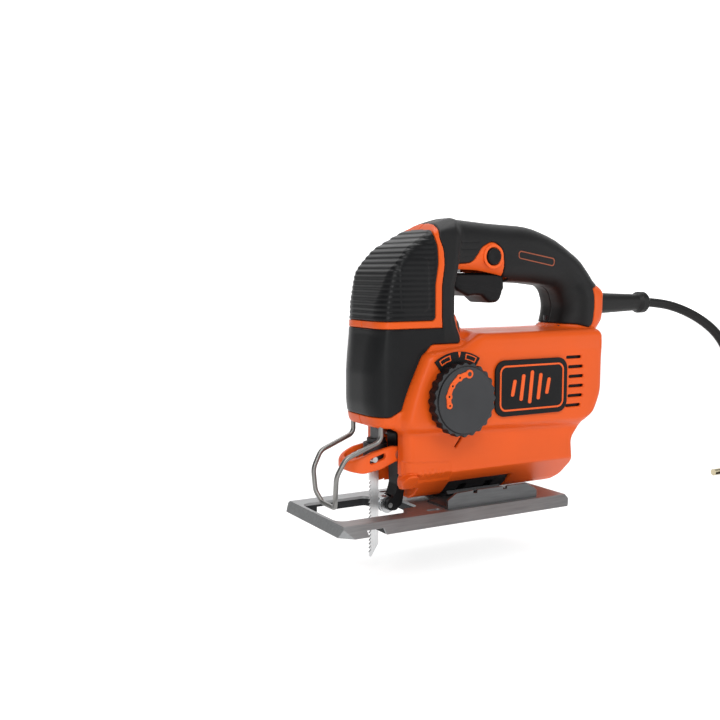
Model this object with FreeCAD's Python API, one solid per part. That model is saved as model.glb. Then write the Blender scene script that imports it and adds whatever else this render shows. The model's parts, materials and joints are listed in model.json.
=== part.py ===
import FreeCAD, Part
import os, math
from FreeCAD import Vector as V

# ---------------------------------------------------------------------------
# Corded pendulum jigsaw.  Millimetres.  +Z up, z = 0 is the sole of the shoe.
# -X is the cutting direction (blade end), +X is the cord end, -Y is the side
# with the selector dial.  Every node is written as one STEP in parts/.
# ---------------------------------------------------------------------------

# ---- driving dimensions ----------------------------------------------------
WALL = 2.4              # moulded wall of the clamshell
SKIN = 1.6              # thickness of the dark covers and grip over the shell
W_BODY = 31.0           # half width of the motor housing
W_BELLY = 24.6          # half width of the lower housing
W_NOSE = 24.5           # half width of the nose
W_GRIP = 17.5           # half width of the handle
W_REAR = 22.0           # half width of the cord block behind the handle

MOTOR_Z = 70.0          # armature axis height
MODULE = 0.8            # gear module
PINION_T = 12
GEAR_T = 38
GEAR_Z = MOTOR_Z + MODULE * (PINION_T + GEAR_T) / 2.0 + 0.04
PRESS_ANGLE = 25.0
CRANK_R = 9.0           # half of the 18 mm stroke
STROKE = 2 * CRANK_R

BAR_X = -34.0           # plunger bar axis
BAR_R = 4.0
RUN = 0.05              # running clearance (radius)

DIAL_X, DIAL_Z = 2.2, 70.9
DIAL_R = 21.0
DIAL_SHAFT_R = 5.95

SHOE_X0, SHOE_X1 = -78.0, 84.0
SHOE_W = 40.0           # half width of the shoe at the sole
SHOE_TOP_W = 34.0       # half width of the shoe's flat top
SHOE_H = 6.0
SHEET = 1.6
WIN_X0, WIN_X1 = -73.0, -14.5
WIN_W = 23.6
TILT_Z = 22.0           # bevel axis height, along X at y = 0

BLADE_X0, BLADE_X1 = -39.5, -33.3
BLADE_T = 1.2
BLADE_TIP = -24.8

CORD_D = 6.4
CORD_R = CORD_D / 2
FLOOR_Z = -34.5         # what the put-away cord lies on
COIL_C = (292.0, -50.0)
COIL_MID = 35.2         # mean radius of the coil
COIL_TURNS = 8

PIN_R = 2.4             # plug pins
PIN_L = 19.0
PIN_SPACING = 19.0

os.makedirs("parts", exist_ok=True)
NODES = {}


# ---- helpers ---------------------------------------------------------------
def corner_wire(pts, to3):
    """closed wire through (a, b, r) corners, each rounded with radius r"""
    n = len(pts)
    tang = []
    for i in range(n):
        p0 = pts[i - 1]
        p1 = pts[i]
        p2 = pts[(i + 1) % n]
        r = p1[2] if len(p1) > 2 else 0.0
        a = (p0[0] - p1[0], p0[1] - p1[1])
        b = (p2[0] - p1[0], p2[1] - p1[1])
        la, lb = math.hypot(*a), math.hypot(*b)
        ua, ub = (a[0] / la, a[1] / la), (b[0] / lb, b[1] / lb)
        c = max(-1.0, min(1.0, ua[0] * ub[0] + ua[1] * ub[1]))
        ang = math.acos(c)
        if r <= 0 or ang > math.pi - 0.02:
            tang.append(None)
            continue
        t = r / math.tan(ang / 2)
        t = min(t, 0.47 * la, 0.47 * lb)
        r = t * math.tan(ang / 2)
        s = (p1[0] + ua[0] * t, p1[1] + ua[1] * t)
        e = (p1[0] + ub[0] * t, p1[1] + ub[1] * t)
        bis = (ua[0] + ub[0], ua[1] + ub[1])
        lbis = math.hypot(*bis)
        d = r / math.sin(ang / 2)
        cen = (p1[0] + bis[0] / lbis * d, p1[1] + bis[1] / lbis * d)
        m = (p1[0] - cen[0], p1[1] - cen[1])
        lm = math.hypot(*m)
        mid = (cen[0] + m[0] / lm * r, cen[1] + m[1] / lm * r)
        tang.append((s, mid, e))
    edges = []
    for i in range(n):
        j = (i + 1) % n
        a = tang[i][2] if tang[i] else pts[i][:2]
        b = tang[j][0] if tang[j] else pts[j][:2]
        if math.hypot(a[0] - b[0], a[1] - b[1]) > 1e-6:
            edges.append(Part.LineSegment(to3(a), to3(b)).toShape())
        if tang[j]:
            s, m, e = tang[j]
            edges.append(Part.Arc(to3(s), to3(m), to3(e)).toShape())
    return Part.Wire(Part.__sortEdges__(edges))


def inset_pts(pts, t):
    """the same corners with every edge moved inwards by t (outwards when t < 0)"""
    n = len(pts)
    area = sum(pts[i - 1][0] * pts[i][1] - pts[i][0] * pts[i - 1][1] for i in range(n))
    sg = 1.0 if area > 0 else -1.0
    out = []
    for i in range(n):
        p0, p1, p2 = pts[i - 1], pts[i], pts[(i + 1) % n]
        a = (p1[0] - p0[0], p1[1] - p0[1])
        b = (p2[0] - p1[0], p2[1] - p1[1])
        la, lb = math.hypot(*a), math.hypot(*b)
        na = (-a[1] / la * sg, a[0] / la * sg)
        nb = (-b[1] / lb * sg, b[0] / lb * sg)
        k = 1.0 + na[0] * nb[0] + na[1] * nb[1]
        q = (p1[0] + (na[0] + nb[0]) * t / k, p1[1] + (na[1] + nb[1]) * t / k)
        convex = (a[0] * b[1] - a[1] * b[0]) * sg > 0
        r = p1[2] if len(p1) > 2 else 0.0
        if r > 0:
            r = max(0.3, r - t) if convex else max(0.3, r + t)
        out.append((q[0], q[1], r))
    return out


def face_of(pts, to3):
    return Part.Face(corner_wire(pts, to3))


def side(pts, y0, y1, inset=0.0):
    """profile in XZ, pulled along Y from y0 to y1"""
    f = face_of(inset_pts(pts, inset) if inset else pts, lambda p: V(p[0], y0, p[1]))
    return f.extrude(V(0, y1 - y0, 0))


def plan(pts, z0, z1, inset=0.0):
    f = face_of(inset_pts(pts, inset) if inset else pts, lambda p: V(p[0], p[1], z0))
    return f.extrude(V(0, 0, z1 - z0))


def front(pts, x0, x1, inset=0.0):
    """profile in YZ, pulled along X"""
    f = face_of(inset_pts(pts, inset) if inset else pts, lambda p: V(x0, p[0], p[1]))
    return f.extrude(V(x1 - x0, 0, 0))


def box(x0, x1, y0, y1, z0, z1):
    return Part.makeBox(x1 - x0, y1 - y0, z1 - z0, V(x0, y0, z0))


def cyl(axis, a0, a1, r, p, q):
    """cylinder along an axis letter, from a0 to a1, at the two other coordinates"""
    h = a1 - a0
    if axis == "x":
        return Part.makeCylinder(r, h, V(a0, p, q), V(1, 0, 0))
    if axis == "y":
        return Part.makeCylinder(r, h, V(p, a0, q), V(0, 1, 0))
    return Part.makeCylinder(r, h, V(p, q, a0), V(0, 0, 1))


def ring(axis, a0, a1, ro, ri, p, q):
    return cyl(axis, a0, a1, ro, p, q).cut(cyl(axis, a0 - 1, a1 + 1, ri, p, q))


def cone(axis, a0, a1, r0, r1, p, q):
    h = a1 - a0
    if axis == "x":
        return Part.makeCone(r0, r1, h, V(a0, p, q), V(1, 0, 0))
    if axis == "y":
        return Part.makeCone(r0, r1, h, V(p, a0, q), V(0, 1, 0))
    return Part.makeCone(r0, r1, h, V(p, q, a0), V(0, 0, 1))


def fuse(*s):
    r = s[0]
    for k in s[1:]:
        r = r.fuse(k)
    return r.removeSplitter()


def cut(a, *s):
    for k in s:
        a = a.cut(k)
    return a


def mirror_y(s):
    return s.mirror(V(0, 0, 0), V(0, 1, 0))


def both(s):
    return [s, mirror_y(s)]


def node(name, *shapes):
    solids = []
    for s in shapes:
        for k in (s if isinstance(s, (list, tuple)) else [s]):
            for so in k.Solids:
                if so.Volume > 0.5:
                    solids.append(so)
    if not solids:
        raise RuntimeError("no solid in " + name)
    NODES[name] = solids


# ---- side profiles (x, z, corner radius) -------------------------------------
P_NOSE = [(-44.0, 54.5, 4), (-49.4, 68, 14), (-49.4, 86, 16), (-44.6, 108, 10),
          (-43.6, 126, 12), (-38.6, 144, 14), (-26, 158, 20), (-6, 169.5, 30),
          (12, 175.4, 20), (22, 174.5, 0), (22, 126.0, 0), (30, 104, 0), (30, 54.5, 0)]
P_GRIP = [(2, 60, 0), (2, 172.4, 4), (14, 175.4, 12), (39, 173.4, 60), (71, 172.0, 60),
          (92, 165, 60), (112, 153.4, 40), (124, 142, 24), (131, 130.5, 3), (130, 112, 3),
          (119, 104, 0), (119, 90, 0), (60, 90, 0), (60, 60, 0)]
GAP = [(20.2, 127, 6), (15, 137, 2), (52, 137.2, 4), (70, 136.2, 30), (89, 134.6, 9), (93.0, 122, 12),
       (89.5, 108.6, 7), (33, 108.6, 7), (26.5, 113, 5)]
P_BODY = [(-34, 52.5, 4), (-35, 60, 8), (-16, 104, 10), (-6, 108.6, 10), (108, 108.6, 20),
          (120.5, 108.6, 6), (118.2, 90, 20), (117.6, 62, 20), (114, 50, 9), (101, 47.0, 4),
          (30, 50.5, 30)]
P_REAR = [(92, 96, 0), (92, 133, 4), (131, 131.5, 3), (130.6, 116, 14), (120, 104, 8), (118.5, 96, 0)]
P_BELLY = [(-32, 62, 0), (-32, 18.5, 3), (-28, 7.9, 0), (60, 7.9, 0), (86, 7.9, 4), (98, 15.5, 6), (101.5, 26, 8),
           (100.0, 37, 8), (106, 47, 5), (106, 62, 0)]

# plan profiles (x, y)
PLAN_NOSE = [(-49.6, 30, 21), (-49.6, -30, 21), (40, -30, 0), (40, 30, 0)]
PLAN_NOSE = [(-49.6, W_NOSE, 19), (-49.6, -W_NOSE, 19), (40, -W_NOSE, 0), (40, W_NOSE, 0)]
PLAN_BODY = [(-37, W_BODY, 15), (-37, -W_BODY, 15), (122, -W_BODY, 13), (122, W_BODY, 13)]
PLAN_REAR = [(80, W_REAR, 0), (80, -W_REAR, 0), (133, -W_REAR, 9), (133, W_REAR, 9)]
PLAN_BELLY = [(-33, W_BELLY, 6), (-33, -W_BELLY, 6), (103, -W_BELLY, 8), (103, W_BELLY, 8)]

# front profiles (y, z)
F_NOSE = [(-W_NOSE, 54, 0), (-W_NOSE, 146, 30), (-19.5, 168, 12), (-8, 178, 0), (8, 178, 0),
          (19.5, 168, 12), (W_NOSE, 146, 30), (W_NOSE, 54, 0)]
F_GRIP = [(-W_GRIP, 40, 0), (-W_GRIP, 176, 9), (W_GRIP, 176, 9), (W_GRIP, 40, 0)]
F_BODY = [(-24.6, 46, 0), (-W_BODY, 52.5, 2), (-W_BODY, 96, 8), (-26, 108.6, 8), (26, 108.6, 8),
          (W_BODY, 96, 8), (W_BODY, 52.5, 2), (24.6, 46, 0)]
F_BELLY = [(-W_BELLY, 64, 0), (-W_BELLY, 26.66, 0), (-9.97, 12.03, 0), (-7.05, 9.79, 0), (-3.65, 8.38, 0),
           (0, 7.9, 0), (3.65, 8.38, 0), (7.05, 9.79, 0), (9.97, 12.03, 0), (W_BELLY, 26.66, 0), (W_BELLY, 64, 0)]


def envelope(t):
    """outer solid of the whole housing when t = 0, its cavity when t = the wall"""
    s = t
    nose = side(P_NOSE, -60, 60, t).common(plan(PLAN_NOSE, 40, 190, t)).common(front(F_NOSE, -60, 60, t))
    grip = side(P_GRIP, -60, 60, t).common(front(F_GRIP, -20, 150, t))
    body = side(P_BODY, -60, 60, t).common(plan(PLAN_BODY, 30, 120, t)).common(front(F_BODY, -60, 140, t))
    rear = side(P_REAR, -60, 60, t).common(plan(PLAN_REAR, 80, 140, t))
    belly = side(P_BELLY, -60, 60, t).common(plan(PLAN_BELLY, 0, 70, t)).common(front(F_BELLY, -60, 140, t))
    return nose, grip, body, rear, belly


nose0, grip0, body0, rear0, belly0 = envelope(0.0)
gap_hole = side(GAP, -60, 60)
outer = fuse(nose0, grip0, body0, rear0, belly0).cut(gap_hole)

nose1, grip1, body1, rear1, belly1 = envelope(WALL + SKIN)
nose2, grip2, _b, _r, _l = envelope(SKIN)
_n, _g, body1, rear1, belly1 = envelope(WALL)
gap_thick = side(GAP, -60, 60, -(WALL + SKIN))
# the cavity: joined inset volumes, opened into each other where they meet
link = fuse(box(-28, 20, -18, 18, 58, 106), box(94, 112, -13, 13, 92, 132), box(-11, 98, -20, 20, 30, 62))
cavity = fuse(nose1, grip1, body1, rear1, belly1, link).cut(gap_thick)
# the front bay below the nose, between the two cheeks, is open to the front and the bottom
bay = fuse(box(-60, -14.5, -14, 14, 0, 52), box(-42.5, -14.5, -14, 14, 50, 60))
cheek_fill = box(-40, -11.5, -40, 40, 0, 54.4)
cavity = cavity.cut(cheek_fill)

shell = outer.cut(cavity).cut(bay)

# ---- dark covers: skins let into the outside of the shell ----------------------
# upper ribbed nose cap
CAP_R = [(-80, 116.0, 0), (-8.5, 116.0, 2), (-8.5, 137, 8), (-4.2, 150, 8), (-4.5, 158, 8), (-9.5, 168.4, 0), (-9.5, 200, 0), (-80, 200, 0)]
LOW_R = [(-80, 61.5, 0), (-38, 61.5, 4), (-30.5, 66, 6), (-24, 80, 10), (-13.5, 101.0, 8), (-14, 111.6, 2), (-80, 111.6, 0)]
GRIP_R = [(-3.0, 200, 0), (-2.0, 166, 8), (1.5, 150, 8), (-2.2, 136, 10), (-3.0, 117, 4), (4.5, 106.0, 6), (12.5, 111, 4),
          (6.5, 130, 8), (8.0, 149, 6), (22, 150, 6), (28.5, 159, 8), (37, 163.2, 10), (44.5, 157, 8), (46.8, 141, 4),
          (47.5, 134.0, 0), (60, 120, 0), (86, 120, 0), (86, 111.5, 6), (116, 109.5, 6), (125.0, 116, 6), (126, 136, 6), (124, 200, 0)]
skin_zone = outer.cut(fuse(nose2, grip2, box(-15, 30, -16, 16, 100, 170)))
cap_zone = outer.common(side(CAP_R, -60, 60)).cut(nose2)
low_zone = outer.common(side(LOW_R, -60, 60)).cut(nose2).cut(body0)
grip_zone = outer.common(side(GRIP_R, -60, 60)).cut(fuse(grip2.cut(side(GAP, -60, 60, -SKIN)), nose2)).cut(box(-10, 140, -60, 60, 50, 104.5))

shell = shell.cut(cap_zone).cut(low_zone).cut(grip_zone)

# ---- openings in the shell -------------------------------------------------------
trigger_gate = box(11.5, 53.0, -8.7, 8.7, 120, 152)
lock_hole = cyl("y", -30, 30, 5.3, 36.8, 153.2)
dial_hole = cyl("y", -40, -20, DIAL_SHAFT_R + RUN, DIAL_X, DIAL_Z)
cord_hole = fuse(cyl("x", 120, 140, 8.05, 0, 123.0), cyl("x", 123.0, 127.0, 10.0, 0, 123.0))
guard_holes = fuse(cyl("z", 50, 64, 1.45, -41, -16.4), cyl("z", 50, 64, 1.45, -41, 16.4))
vents = []
for i in range(6):
    z = 60.9 + i * 6.05
    xo = 91.5 + (1.3 if i in (2, 3) else (0.8 if i in (1, 4) else -0.9))
    vents.append(box(xo - 6.2, xo + 6.2, -40, 40, z - 0.8, z + 0.8))
rear_vents = [box(106, 124, y - 1.2, y + 1.2, 76, 98) for y in (-12, -6, 0, 6, 12)]
duct_hole = cyl("x", -16, 110, 10.5, 0, 34.0)
saddle_room = box(6.5, 53.5, -60, 60, 0, 22.6).common(cyl("x", 6.5, 53.5, 16.7, 0, TILT_Z))
lever_pins_h = cyl("y", -17, 17, 1.5, -26.0, 38.0)
arm_pin_h = cyl("y", -17, 17, 1.5, -21.0, 47.0)

# ribs inside the shell that hold the stator, the bearings, the gear case and the screws
ribs = []
for x0 in (40.0, 62.0):
    ribs.append(box(x0, x0 + 3, -28.7, 28.7, 47, 100).cut(cyl("x", x0 - 1, x0 + 4, 23.0, 0, MOTOR_Z)))
ribs.append(box(97.0, 101.0, -28.7, 28.7, 46, 98).cut(cyl("x", 96, 102, 8.0, 0, MOTOR_Z)))
bulk = box(-14.0, -11.4, -22.5, 22.5, 12.5, 52.0)
SCREWS = [(-12.5, 133.0), (68.0, 165.0), (110.0, 141.0), (108.5, 55.5), (24.5, 99.0), (85.0, 99.0), (-7.0, 50.8)]
bosses, screw_cut, screws = [], [], []
for (sx, sz) in SCREWS:
    wide = 28.0 if 50 < sz < 105 else 15.0
    bosses.append(cyl("y", -wide, wide, 3.6, sx, sz))
    screw_cut.append(cyl("y", -9, 9.0, 1.5, sx, sz))
    screw_cut.append(cyl("y", 9.0, 60, 3.0, sx, sz))
    screws.append(fuse(cyl("y", -9, 9.0, 1.5, sx, sz), cyl("y", 9.0, 11.4, 3.0, sx, sz).cut(
        fuse(box(sx - 2, sx + 2, 10.4, 12, sz - 0.4, sz + 0.4), box(sx - 0.4, sx + 0.4, 10.4, 12, sz - 2, sz + 2)))))
gate_rib = box(17.0, 27.0, -6, 6, 160.5, 172)
outer_cavity = outer.common(cavity)
inner_add = [b.common(outer_cavity) for b in ribs + bosses + [bulk, gate_rib]]
bump = cyl("y", -W_BELLY, -14.0, 5.4, -26.0, 22.6).common(cyl("x", -60, 60, 60, 0, 22))
shell = fuse(shell, *inner_add)
shell = cut(shell, trigger_gate, lock_hole, dial_hole, cord_hole, guard_holes, duct_hole, saddle_room,
            lever_pins_h, arm_pin_h, *vents)
shell = cut(shell, *rear_vents)
shell = cut(shell, box(7.0, 53.0, -18.6, 18.6, 22.6, 24.6))
shell = cut(shell, *screw_cut)
# the covers are pierced where screws pass to the outside
cap_zone = cut(cap_zone, *screw_cut)
grip_zone = cut(grip_zone, trigger_gate, *screw_cut)

half_l = box(-100, 200, -60, 0, -10, 200)
half_r = box(-100, 200, 0, 60, -10, 200)


def biggest(s, n=1):
    ss = sorted(s.Solids, key=lambda k: -k.Volume)
    return ss[:n]


node("left_housing", biggest(shell.common(half_l)))
node("right_housing", biggest(shell.common(half_r)))
node("nose_cap", biggest(cap_zone))
node("nose_lower_cover", biggest(low_zone))
node("left_handle_grip", biggest(grip_zone.common(half_l)))
node("right_handle_grip", biggest(grip_zone.common(half_r)))
node("housing_screws", screws)

# ---- side plates and the dial's scale --------------------------------------------
plate = side([(28.5, 57.8, 7), (28.5, 91.6, 7), (84.0, 91.6, 7), (84.0, 57.8, 7)], -W_BODY - 1.0, -W_BODY)
node("side_plates", both(plate))

# ---- trigger and lock button -------------------------------------------------------
T = [(14.2, 136.4, 2), (18.0, 143.5, 2), (50.5, 143.5, 1), (51.0, 134, 4), (45.8, 125.6, 5), (38.0, 125.4, 6), (31.0, 128.6, 8), (19.5, 131.8, 5)]
trig = fuse(side(T, -8.2, 8.2), box(44.0, 51.5, -4, 4, 141, 147.4))
node("trigger", trig)
node("trigger_spring", ring("z", 143.6, 160.4, 3.2, 2.2, 22.0, 0))
lock = fuse(cyl("y", -19.2, -8.0, 5.0, 36.8, 153.2), cyl("y", -13.1, -11.8, 6.6, 36.8, 153.2))
lock = fuse(lock, box(35.0, 38.6, -9, -4.5, 151.6, 154.8))
node("lock_button", lock)
node("lock_spring", ring("y", -7.8, 6.0, 4.2, 3.2, 36.8, 153.2))
seat = fuse(box(31.0, 42.6, 6.2, 9.0, 147.8, 158.6))
sw = side([(54, 141.5, 1), (54, 158.5, 1), (82, 156.0, 1), (82, 141.5, 1)], -8.0, 8.0)
sw = fuse(sw, box(52.4, 54, -2, 2, 150, 153), seat, box(42.6, 56, 6.2, 8.0, 149, 157))
node("trigger_switch", sw)

# ---- selector dial -----------------------------------------------------------------
knob = fuse(cyl("y", -W_BODY - 7.6, -W_BODY - 0.4, DIAL_R - 1.6, DIAL_X, DIAL_Z),
            cyl("y", -W_BODY - 9.4, -W_BODY - 7.6, DIAL_R - 3.0, DIAL_X, DIAL_Z))
lobes = []
for i in range(24):
    a = math.radians(i * 15)
    lobes.append(cyl("y", -W_BODY - 6.8, -W_BODY - 0.4, 2.0, DIAL_X + (DIAL_R - 2.0) * math.cos(a), DIAL_Z + (DIAL_R - 2.0) * math.sin(a)))
knob = fuse(knob, *lobes)
shaft = fuse(cyl("y", -W_BODY - 1.0, -22.5, DIAL_SHAFT_R, DIAL_X, DIAL_Z), cyl("y", -27.6, -23.6, 7.6, DIAL_X, DIAL_Z),
             cyl("y", -27.6, -24.6, 3.4, DIAL_X + 6.0, DIAL_Z))
knob = fuse(knob, shaft)
node("selector_dial", biggest(knob))

# ---- motor -----------------------------------------------------------------------
def sector(x0, x1, ro, ri, a0, a1, cz):
    """ring sector about an X axis at height cz; angles from +Y towards +Z, in degrees"""
    def P(r, a):
        return V(x0, r * math.cos(math.radians(a)), cz + r * math.sin(math.radians(a)))
    am = (a0 + a1) / 2.0
    w = Part.Wire([Part.Arc(P(ro, a0), P(ro, am), P(ro, a1)).toShape(), Part.LineSegment(P(ro, a1), P(ri, a1)).toShape(),
                   Part.Arc(P(ri, a1), P(ri, am), P(ri, a0)).toShape(), Part.LineSegment(P(ri, a0), P(ro, a0)).toShape()])
    return Part.Face(w).extrude(V(x1 - x0, 0, 0))


coils = [sector(30.5, 77.0, 20.4, 16.6, 50, 130, MOTOR_Z), sector(30.5, 77.0, 20.4, 16.6, 230, 310, MOTOR_Z)]
core = ring("x", 36.0, 70.0, 23.0, 14.8, 0, MOTOR_Z)
core = cut(core, *coils)
node("stator_core", core)
node("field_coils", coils)

arm = cyl("x", 36.5, 69.5, 14.0, 0, MOTOR_Z).cut(cyl("x", 30, 80, 3.0, 0, MOTOR_Z))
for i in range(12):
    a = math.radians(i * 30 + 15)
    arm = arm.cut(cyl("x", 30, 80, 1.3, 12.6 * math.cos(a), MOTOR_Z + 12.6 * math.sin(a)))
node("armature_core", arm)
wind = [ring("x", 30.5, 36.5, 12.2, 3.0, 0, MOTOR_Z), ring("x", 69.5, 76.0, 12.2, 3.0, 0, MOTOR_Z)]
node("armature_windings", wind)
node("commutator", ring("x", 79.0, 91.0, 9.0, 3.0, 0, MOTOR_Z))


def gear_outline(teeth, m, pa, thin, add, ded, first):
    """involute spur gear outline as points (a, b); first = angle of the first tooth's centre"""
    rp = m * teeth / 2.0
    rb = rp * math.cos(math.radians(pa))
    ra, rf = rp + add * m, rp - ded * m
    inv = lambda t: math.tan(t) - t
    half = math.pi / (2 * teeth) - thin / (2 * rp)
    tp = math.radians(pa)
    pts = []
    for i in range(teeth):
        c = first + i * 2 * math.pi / teeth
        flank = []
        r0 = max(rb, rf)
        for k in range(8):
            r = r0 + (ra - r0) * k / 7.0
            t = math.acos(min(1.0, rb / r))
            flank.append((r, half + inv(tp) - inv(t)))
        root = [(rf, flank[0][1] + 0.01)] if rf < r0 - 1e-6 else []
        up = root + flank
        for r, w in up:
            pts.append((r * math.cos(c - w), r * math.sin(c - w)))
        for r, w in reversed(up):
            pts.append((r * math.cos(c + w), r * math.sin(c + w)))
    return pts


pin_pts = gear_outline(PINION_T, MODULE, PRESS_ANGLE, 0.07, 0.90, 1.2, math.pi / 2)
pin_w = Part.makePolygon([V(-4.5, a, MOTOR_Z + b) for a, b in pin_pts] + [V(-4.5, pin_pts[0][0], MOTOR_Z + pin_pts[0][1])])
pinion = Part.Face(pin_w).extrude(V(9.0, 0, 0))
shaft = fuse(pinion, cyl("x", -6.0, 102.5, 3.0, 0, MOTOR_Z))
node("armature_shaft", shaft)

hub = ring("x", 16.8, 28.0, 6.0, 3.0, 0, MOTOR_Z)
disc = ring("x", 16.8, 18.4, 19.5, 3.0, 0, MOTOR_Z)
blades = []
for i in range(11):
    b = box(18.0, 27.0, -0.8, 0.8, 5.0, 19.3)
    b.rotate(V(0, 0, 0), V(1, 0, 0), i * 360.0 / 11)
    b.translate(V(0, 0, MOTOR_Z))
    blades.append(b)
node("cooling_fan", fuse(hub, disc, *blades))

node("front_bearing", ring("x", 6.6, 12.6, 9.5, 3.0 + RUN, 0, MOTOR_Z))
node("rear_bearing", ring("x", 96.0, 102.0, 8.0, 3.0 + RUN, 0, MOTOR_Z))

brushes = both(box(81.5, 88.5, -18.5, -9.3, MOTOR_Z - 3, MOTOR_Z + 3))
holders = both(box(79.5, 90.5, -25.0, -10.4, MOTOR_Z - 5, MOTOR_Z + 5).cut(box(81.5, 88.5, -24.0, -9, MOTOR_Z - 3, MOTOR_Z + 3)))
bsprings = both(cyl("y", -24.0, -18.5, 2.4, 85, MOTOR_Z).cut(cyl("y", -24.5, -18, 1.5, 85, MOTOR_Z)))
node("carbon_brushes", brushes)
node("brush_holders", holders)
node("brush_springs", bsprings)

# ---- gear case, gear, crank --------------------------------------------------------
plate = front([(-14, 57.5, 3), (-17, 62, 3), (-17, 100, 6), (-14, 116.0, 5), (14, 116.0, 5), (17, 100, 6), (17, 62, 3), (14, 57.5, 3)], 6.0, 14.0)
lower = box(-39.6, 6.0, -13.5, 13.5, 58.5, 67.0).cut(box(-27.0, 6.0, -9.0, 9.0, 50, 80))
upper = box(-39.6, 6.0, -12.5, 12.5, 108.6, 116.0).cut(box(-26.5, 6.0, -8.0, 8.0, 100, 130))
case = fuse(plate, lower, upper)
case = cut(case, cyl("x", 5, 12.6, 9.5, 0, MOTOR_Z), cyl("x", 5, 15, 4.0, 0, MOTOR_Z), cyl("x", 5, 15, 4.0, 0, GEAR_Z),
           cyl("z", 50, 80, 6.2, BAR_X, 0), cyl("z", 100, 130, 5.4, BAR_X, 0))
node("gear_case", case)
node("gear_pin", fuse(cyl("x", -6.2, 14.0, 4.0, 0, GEAR_Z), cyl("x", -6.9, -6.2, 4.0, 0, GEAR_Z)))
node("lower_guide_bush", ring("z", 58.5, 68.0, 6.2, BAR_R + RUN, BAR_X, 0))
node("upper_guide_bush", ring("z", 108.6, 118.0, 5.4, BAR_R + RUN, BAR_X, 0))
node("plunger_seal", ring("z", 57.0, 58.5, 7.6, BAR_R + RUN, BAR_X, 0))

g_pts = gear_outline(GEAR_T, MODULE, PRESS_ANGLE, 0.07, 0.90, 1.2, -math.pi / 2 + math.pi / GEAR_T)
gw = Part.makePolygon([V(-4.0, a, GEAR_Z + b) for a, b in g_pts] + [V(-4.0, g_pts[0][0], GEAR_Z + g_pts[0][1])])
gear = Part.Face(gw).extrude(V(8.0, 0, 0))
gear = fuse(gear, cyl("x", -5.6, -4.0, 7.0, 0, GEAR_Z)).cut(cyl("x", -10, 10, 4.0 + RUN, 0, GEAR_Z))
gear = gear.cut(cyl("x", -10, 10, 2.5, CRANK_R, GEAR_Z))
node("drive_gear", gear)
node("crank_pin", cyl("x", -19.5, 3.6, 2.5, CRANK_R, GEAR_Z))

# ---- reciprocating parts -----------------------------------------------------------
bar = fuse(cyl("z", 44.0, 120.5, BAR_R, BAR_X, 0), cone("z", 120.5, 122.0, BAR_R, BAR_R - 1.5, BAR_X, 0))
node("plunger_bar", bar)
yoke = box(-27.0, -20.0, -16.0, 16.0, GEAR_Z - 7.5, GEAR_Z + 7.5)
yoke = yoke.cut(side([(-30, GEAR_Z - 4.2, 0), (-30, GEAR_Z + 4.2, 0), (-15, GEAR_Z + 4.2, 0), (-15, GEAR_Z - 4.2, 0)], -13.2, 13.2))
collar = fuse(cyl("z", GEAR_Z - 6.0, GEAR_Z + 6.0, 6.0, BAR_X, 0), box(BAR_X, -26.0, -6.0, 6.0, GEAR_Z - 6.0, GEAR_Z + 6.0))
bridge = fuse(box(-28.5, -27.0, -16.0, 16.0, GEAR_Z - 7.5, GEAR_Z + 7.5))
yoke = fuse(yoke, bridge, collar.cut(box(-27.0, -15, -20, 20, 0, 200))).cut(cyl("z", 40, 140, BAR_R, BAR_X, 0))
node("scotch_yoke", yoke)

blade_p = [(BLADE_X1, 30.5, 0), (BLADE_X1, -17.5, 0.6), (-38.2, BLADE_TIP, 0.5), (-39.0, BLADE_TIP, 0.3), (BLADE_X0 + 0.2, -22.5, 0)]
zt = -22.0
while zt < 21.0:
    blade_p.append((BLADE_X0, zt, 0))
    blade_p.append((BLADE_X0 + 1.3, zt + 1.6, 0))
    zt += 2.3
blade_p += [(BLADE_X0, zt, 0), (BLADE_X0, 30.5, 0), (-38.6, 33.0, 0), (-38.6, 35.0, 0), (-40.0, 36.5, 0), (-40.0, 39.5, 0), (-38.0, 41.5, 0),
            (-38.0, 44.0, 0), (-35.4, 44.0, 0), (-35.4, 41.5, 0), (-33.6, 39.5, 0), (-33.6, 36.5, 0), (-35.0, 35.0, 0), (-35.0, 33.0, 0)]
blade = side(blade_p, -BLADE_T / 2, BLADE_T / 2)
node("saw_blade", blade)
clamp = fuse(cyl("z", 31.0, 44.0, 7.0, -35.4, 0), cyl("z", 44.0, 46.5, 5.6, -34.6, 0))
clamp = cut(clamp, blade, cyl("z", 44.0, 60, BAR_R, BAR_X, 0), box(-40.2, -33.0, -0.6, 0.6, 30, 36))
node("blade_clamp", biggest(clamp))

# ---- blade release lever ------------------------------------------------------------
LV_X, LV_Z = -26.0, 38.0
lv_prof = [(-22.6, 36.0, 2), (-23.0, 41.0, 3), (-30.0, 41.6, 3), (-44.0, 39.6, 10), (-56.0, 36.5, 8), (-63.0, 35.0, 3), (-63.6, 30.5, 3),
           (-52.0, 28.9, 8), (-38.0, 31.0, 12), (-29.0, 34.0, 6)]
lv_out = plan([(-63.8, 12.8, 12), (-63.8, -12.8, 12), (-20, -12.8, 0), (-20, 12.8, 0)], 20, 50)
lv_in = plan([(-59.6, 9.8, 8), (-59.6, -9.8, 8), (-10, -9.8, 0), (-10, 9.8, 0)], 10, 60)
lever = side(lv_prof, -20, 20).common(lv_out).cut(lv_in)
lv_slot = side([(-47.0, 33.2, 1.7), (-47.0, 36.6, 1.7), (-40.4, 38.0, 1.7), (-40.4, 34.6, 1.7)], -20, 20)
lever = cut(lever, cyl("y", -20, 20, 1.5 + RUN, LV_X, LV_Z), lv_slot)
node("blade_lever", biggest(lever))
bar_pins = [cyl("y", -12.4, -8.9, 1.68, -42.4, 36.1).common(lv_slot), cyl("y", 8.9, 12.4, 1.68, -42.4, 36.1).common(lv_slot)]
node("lever_release_pins", bar_pins)
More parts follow.
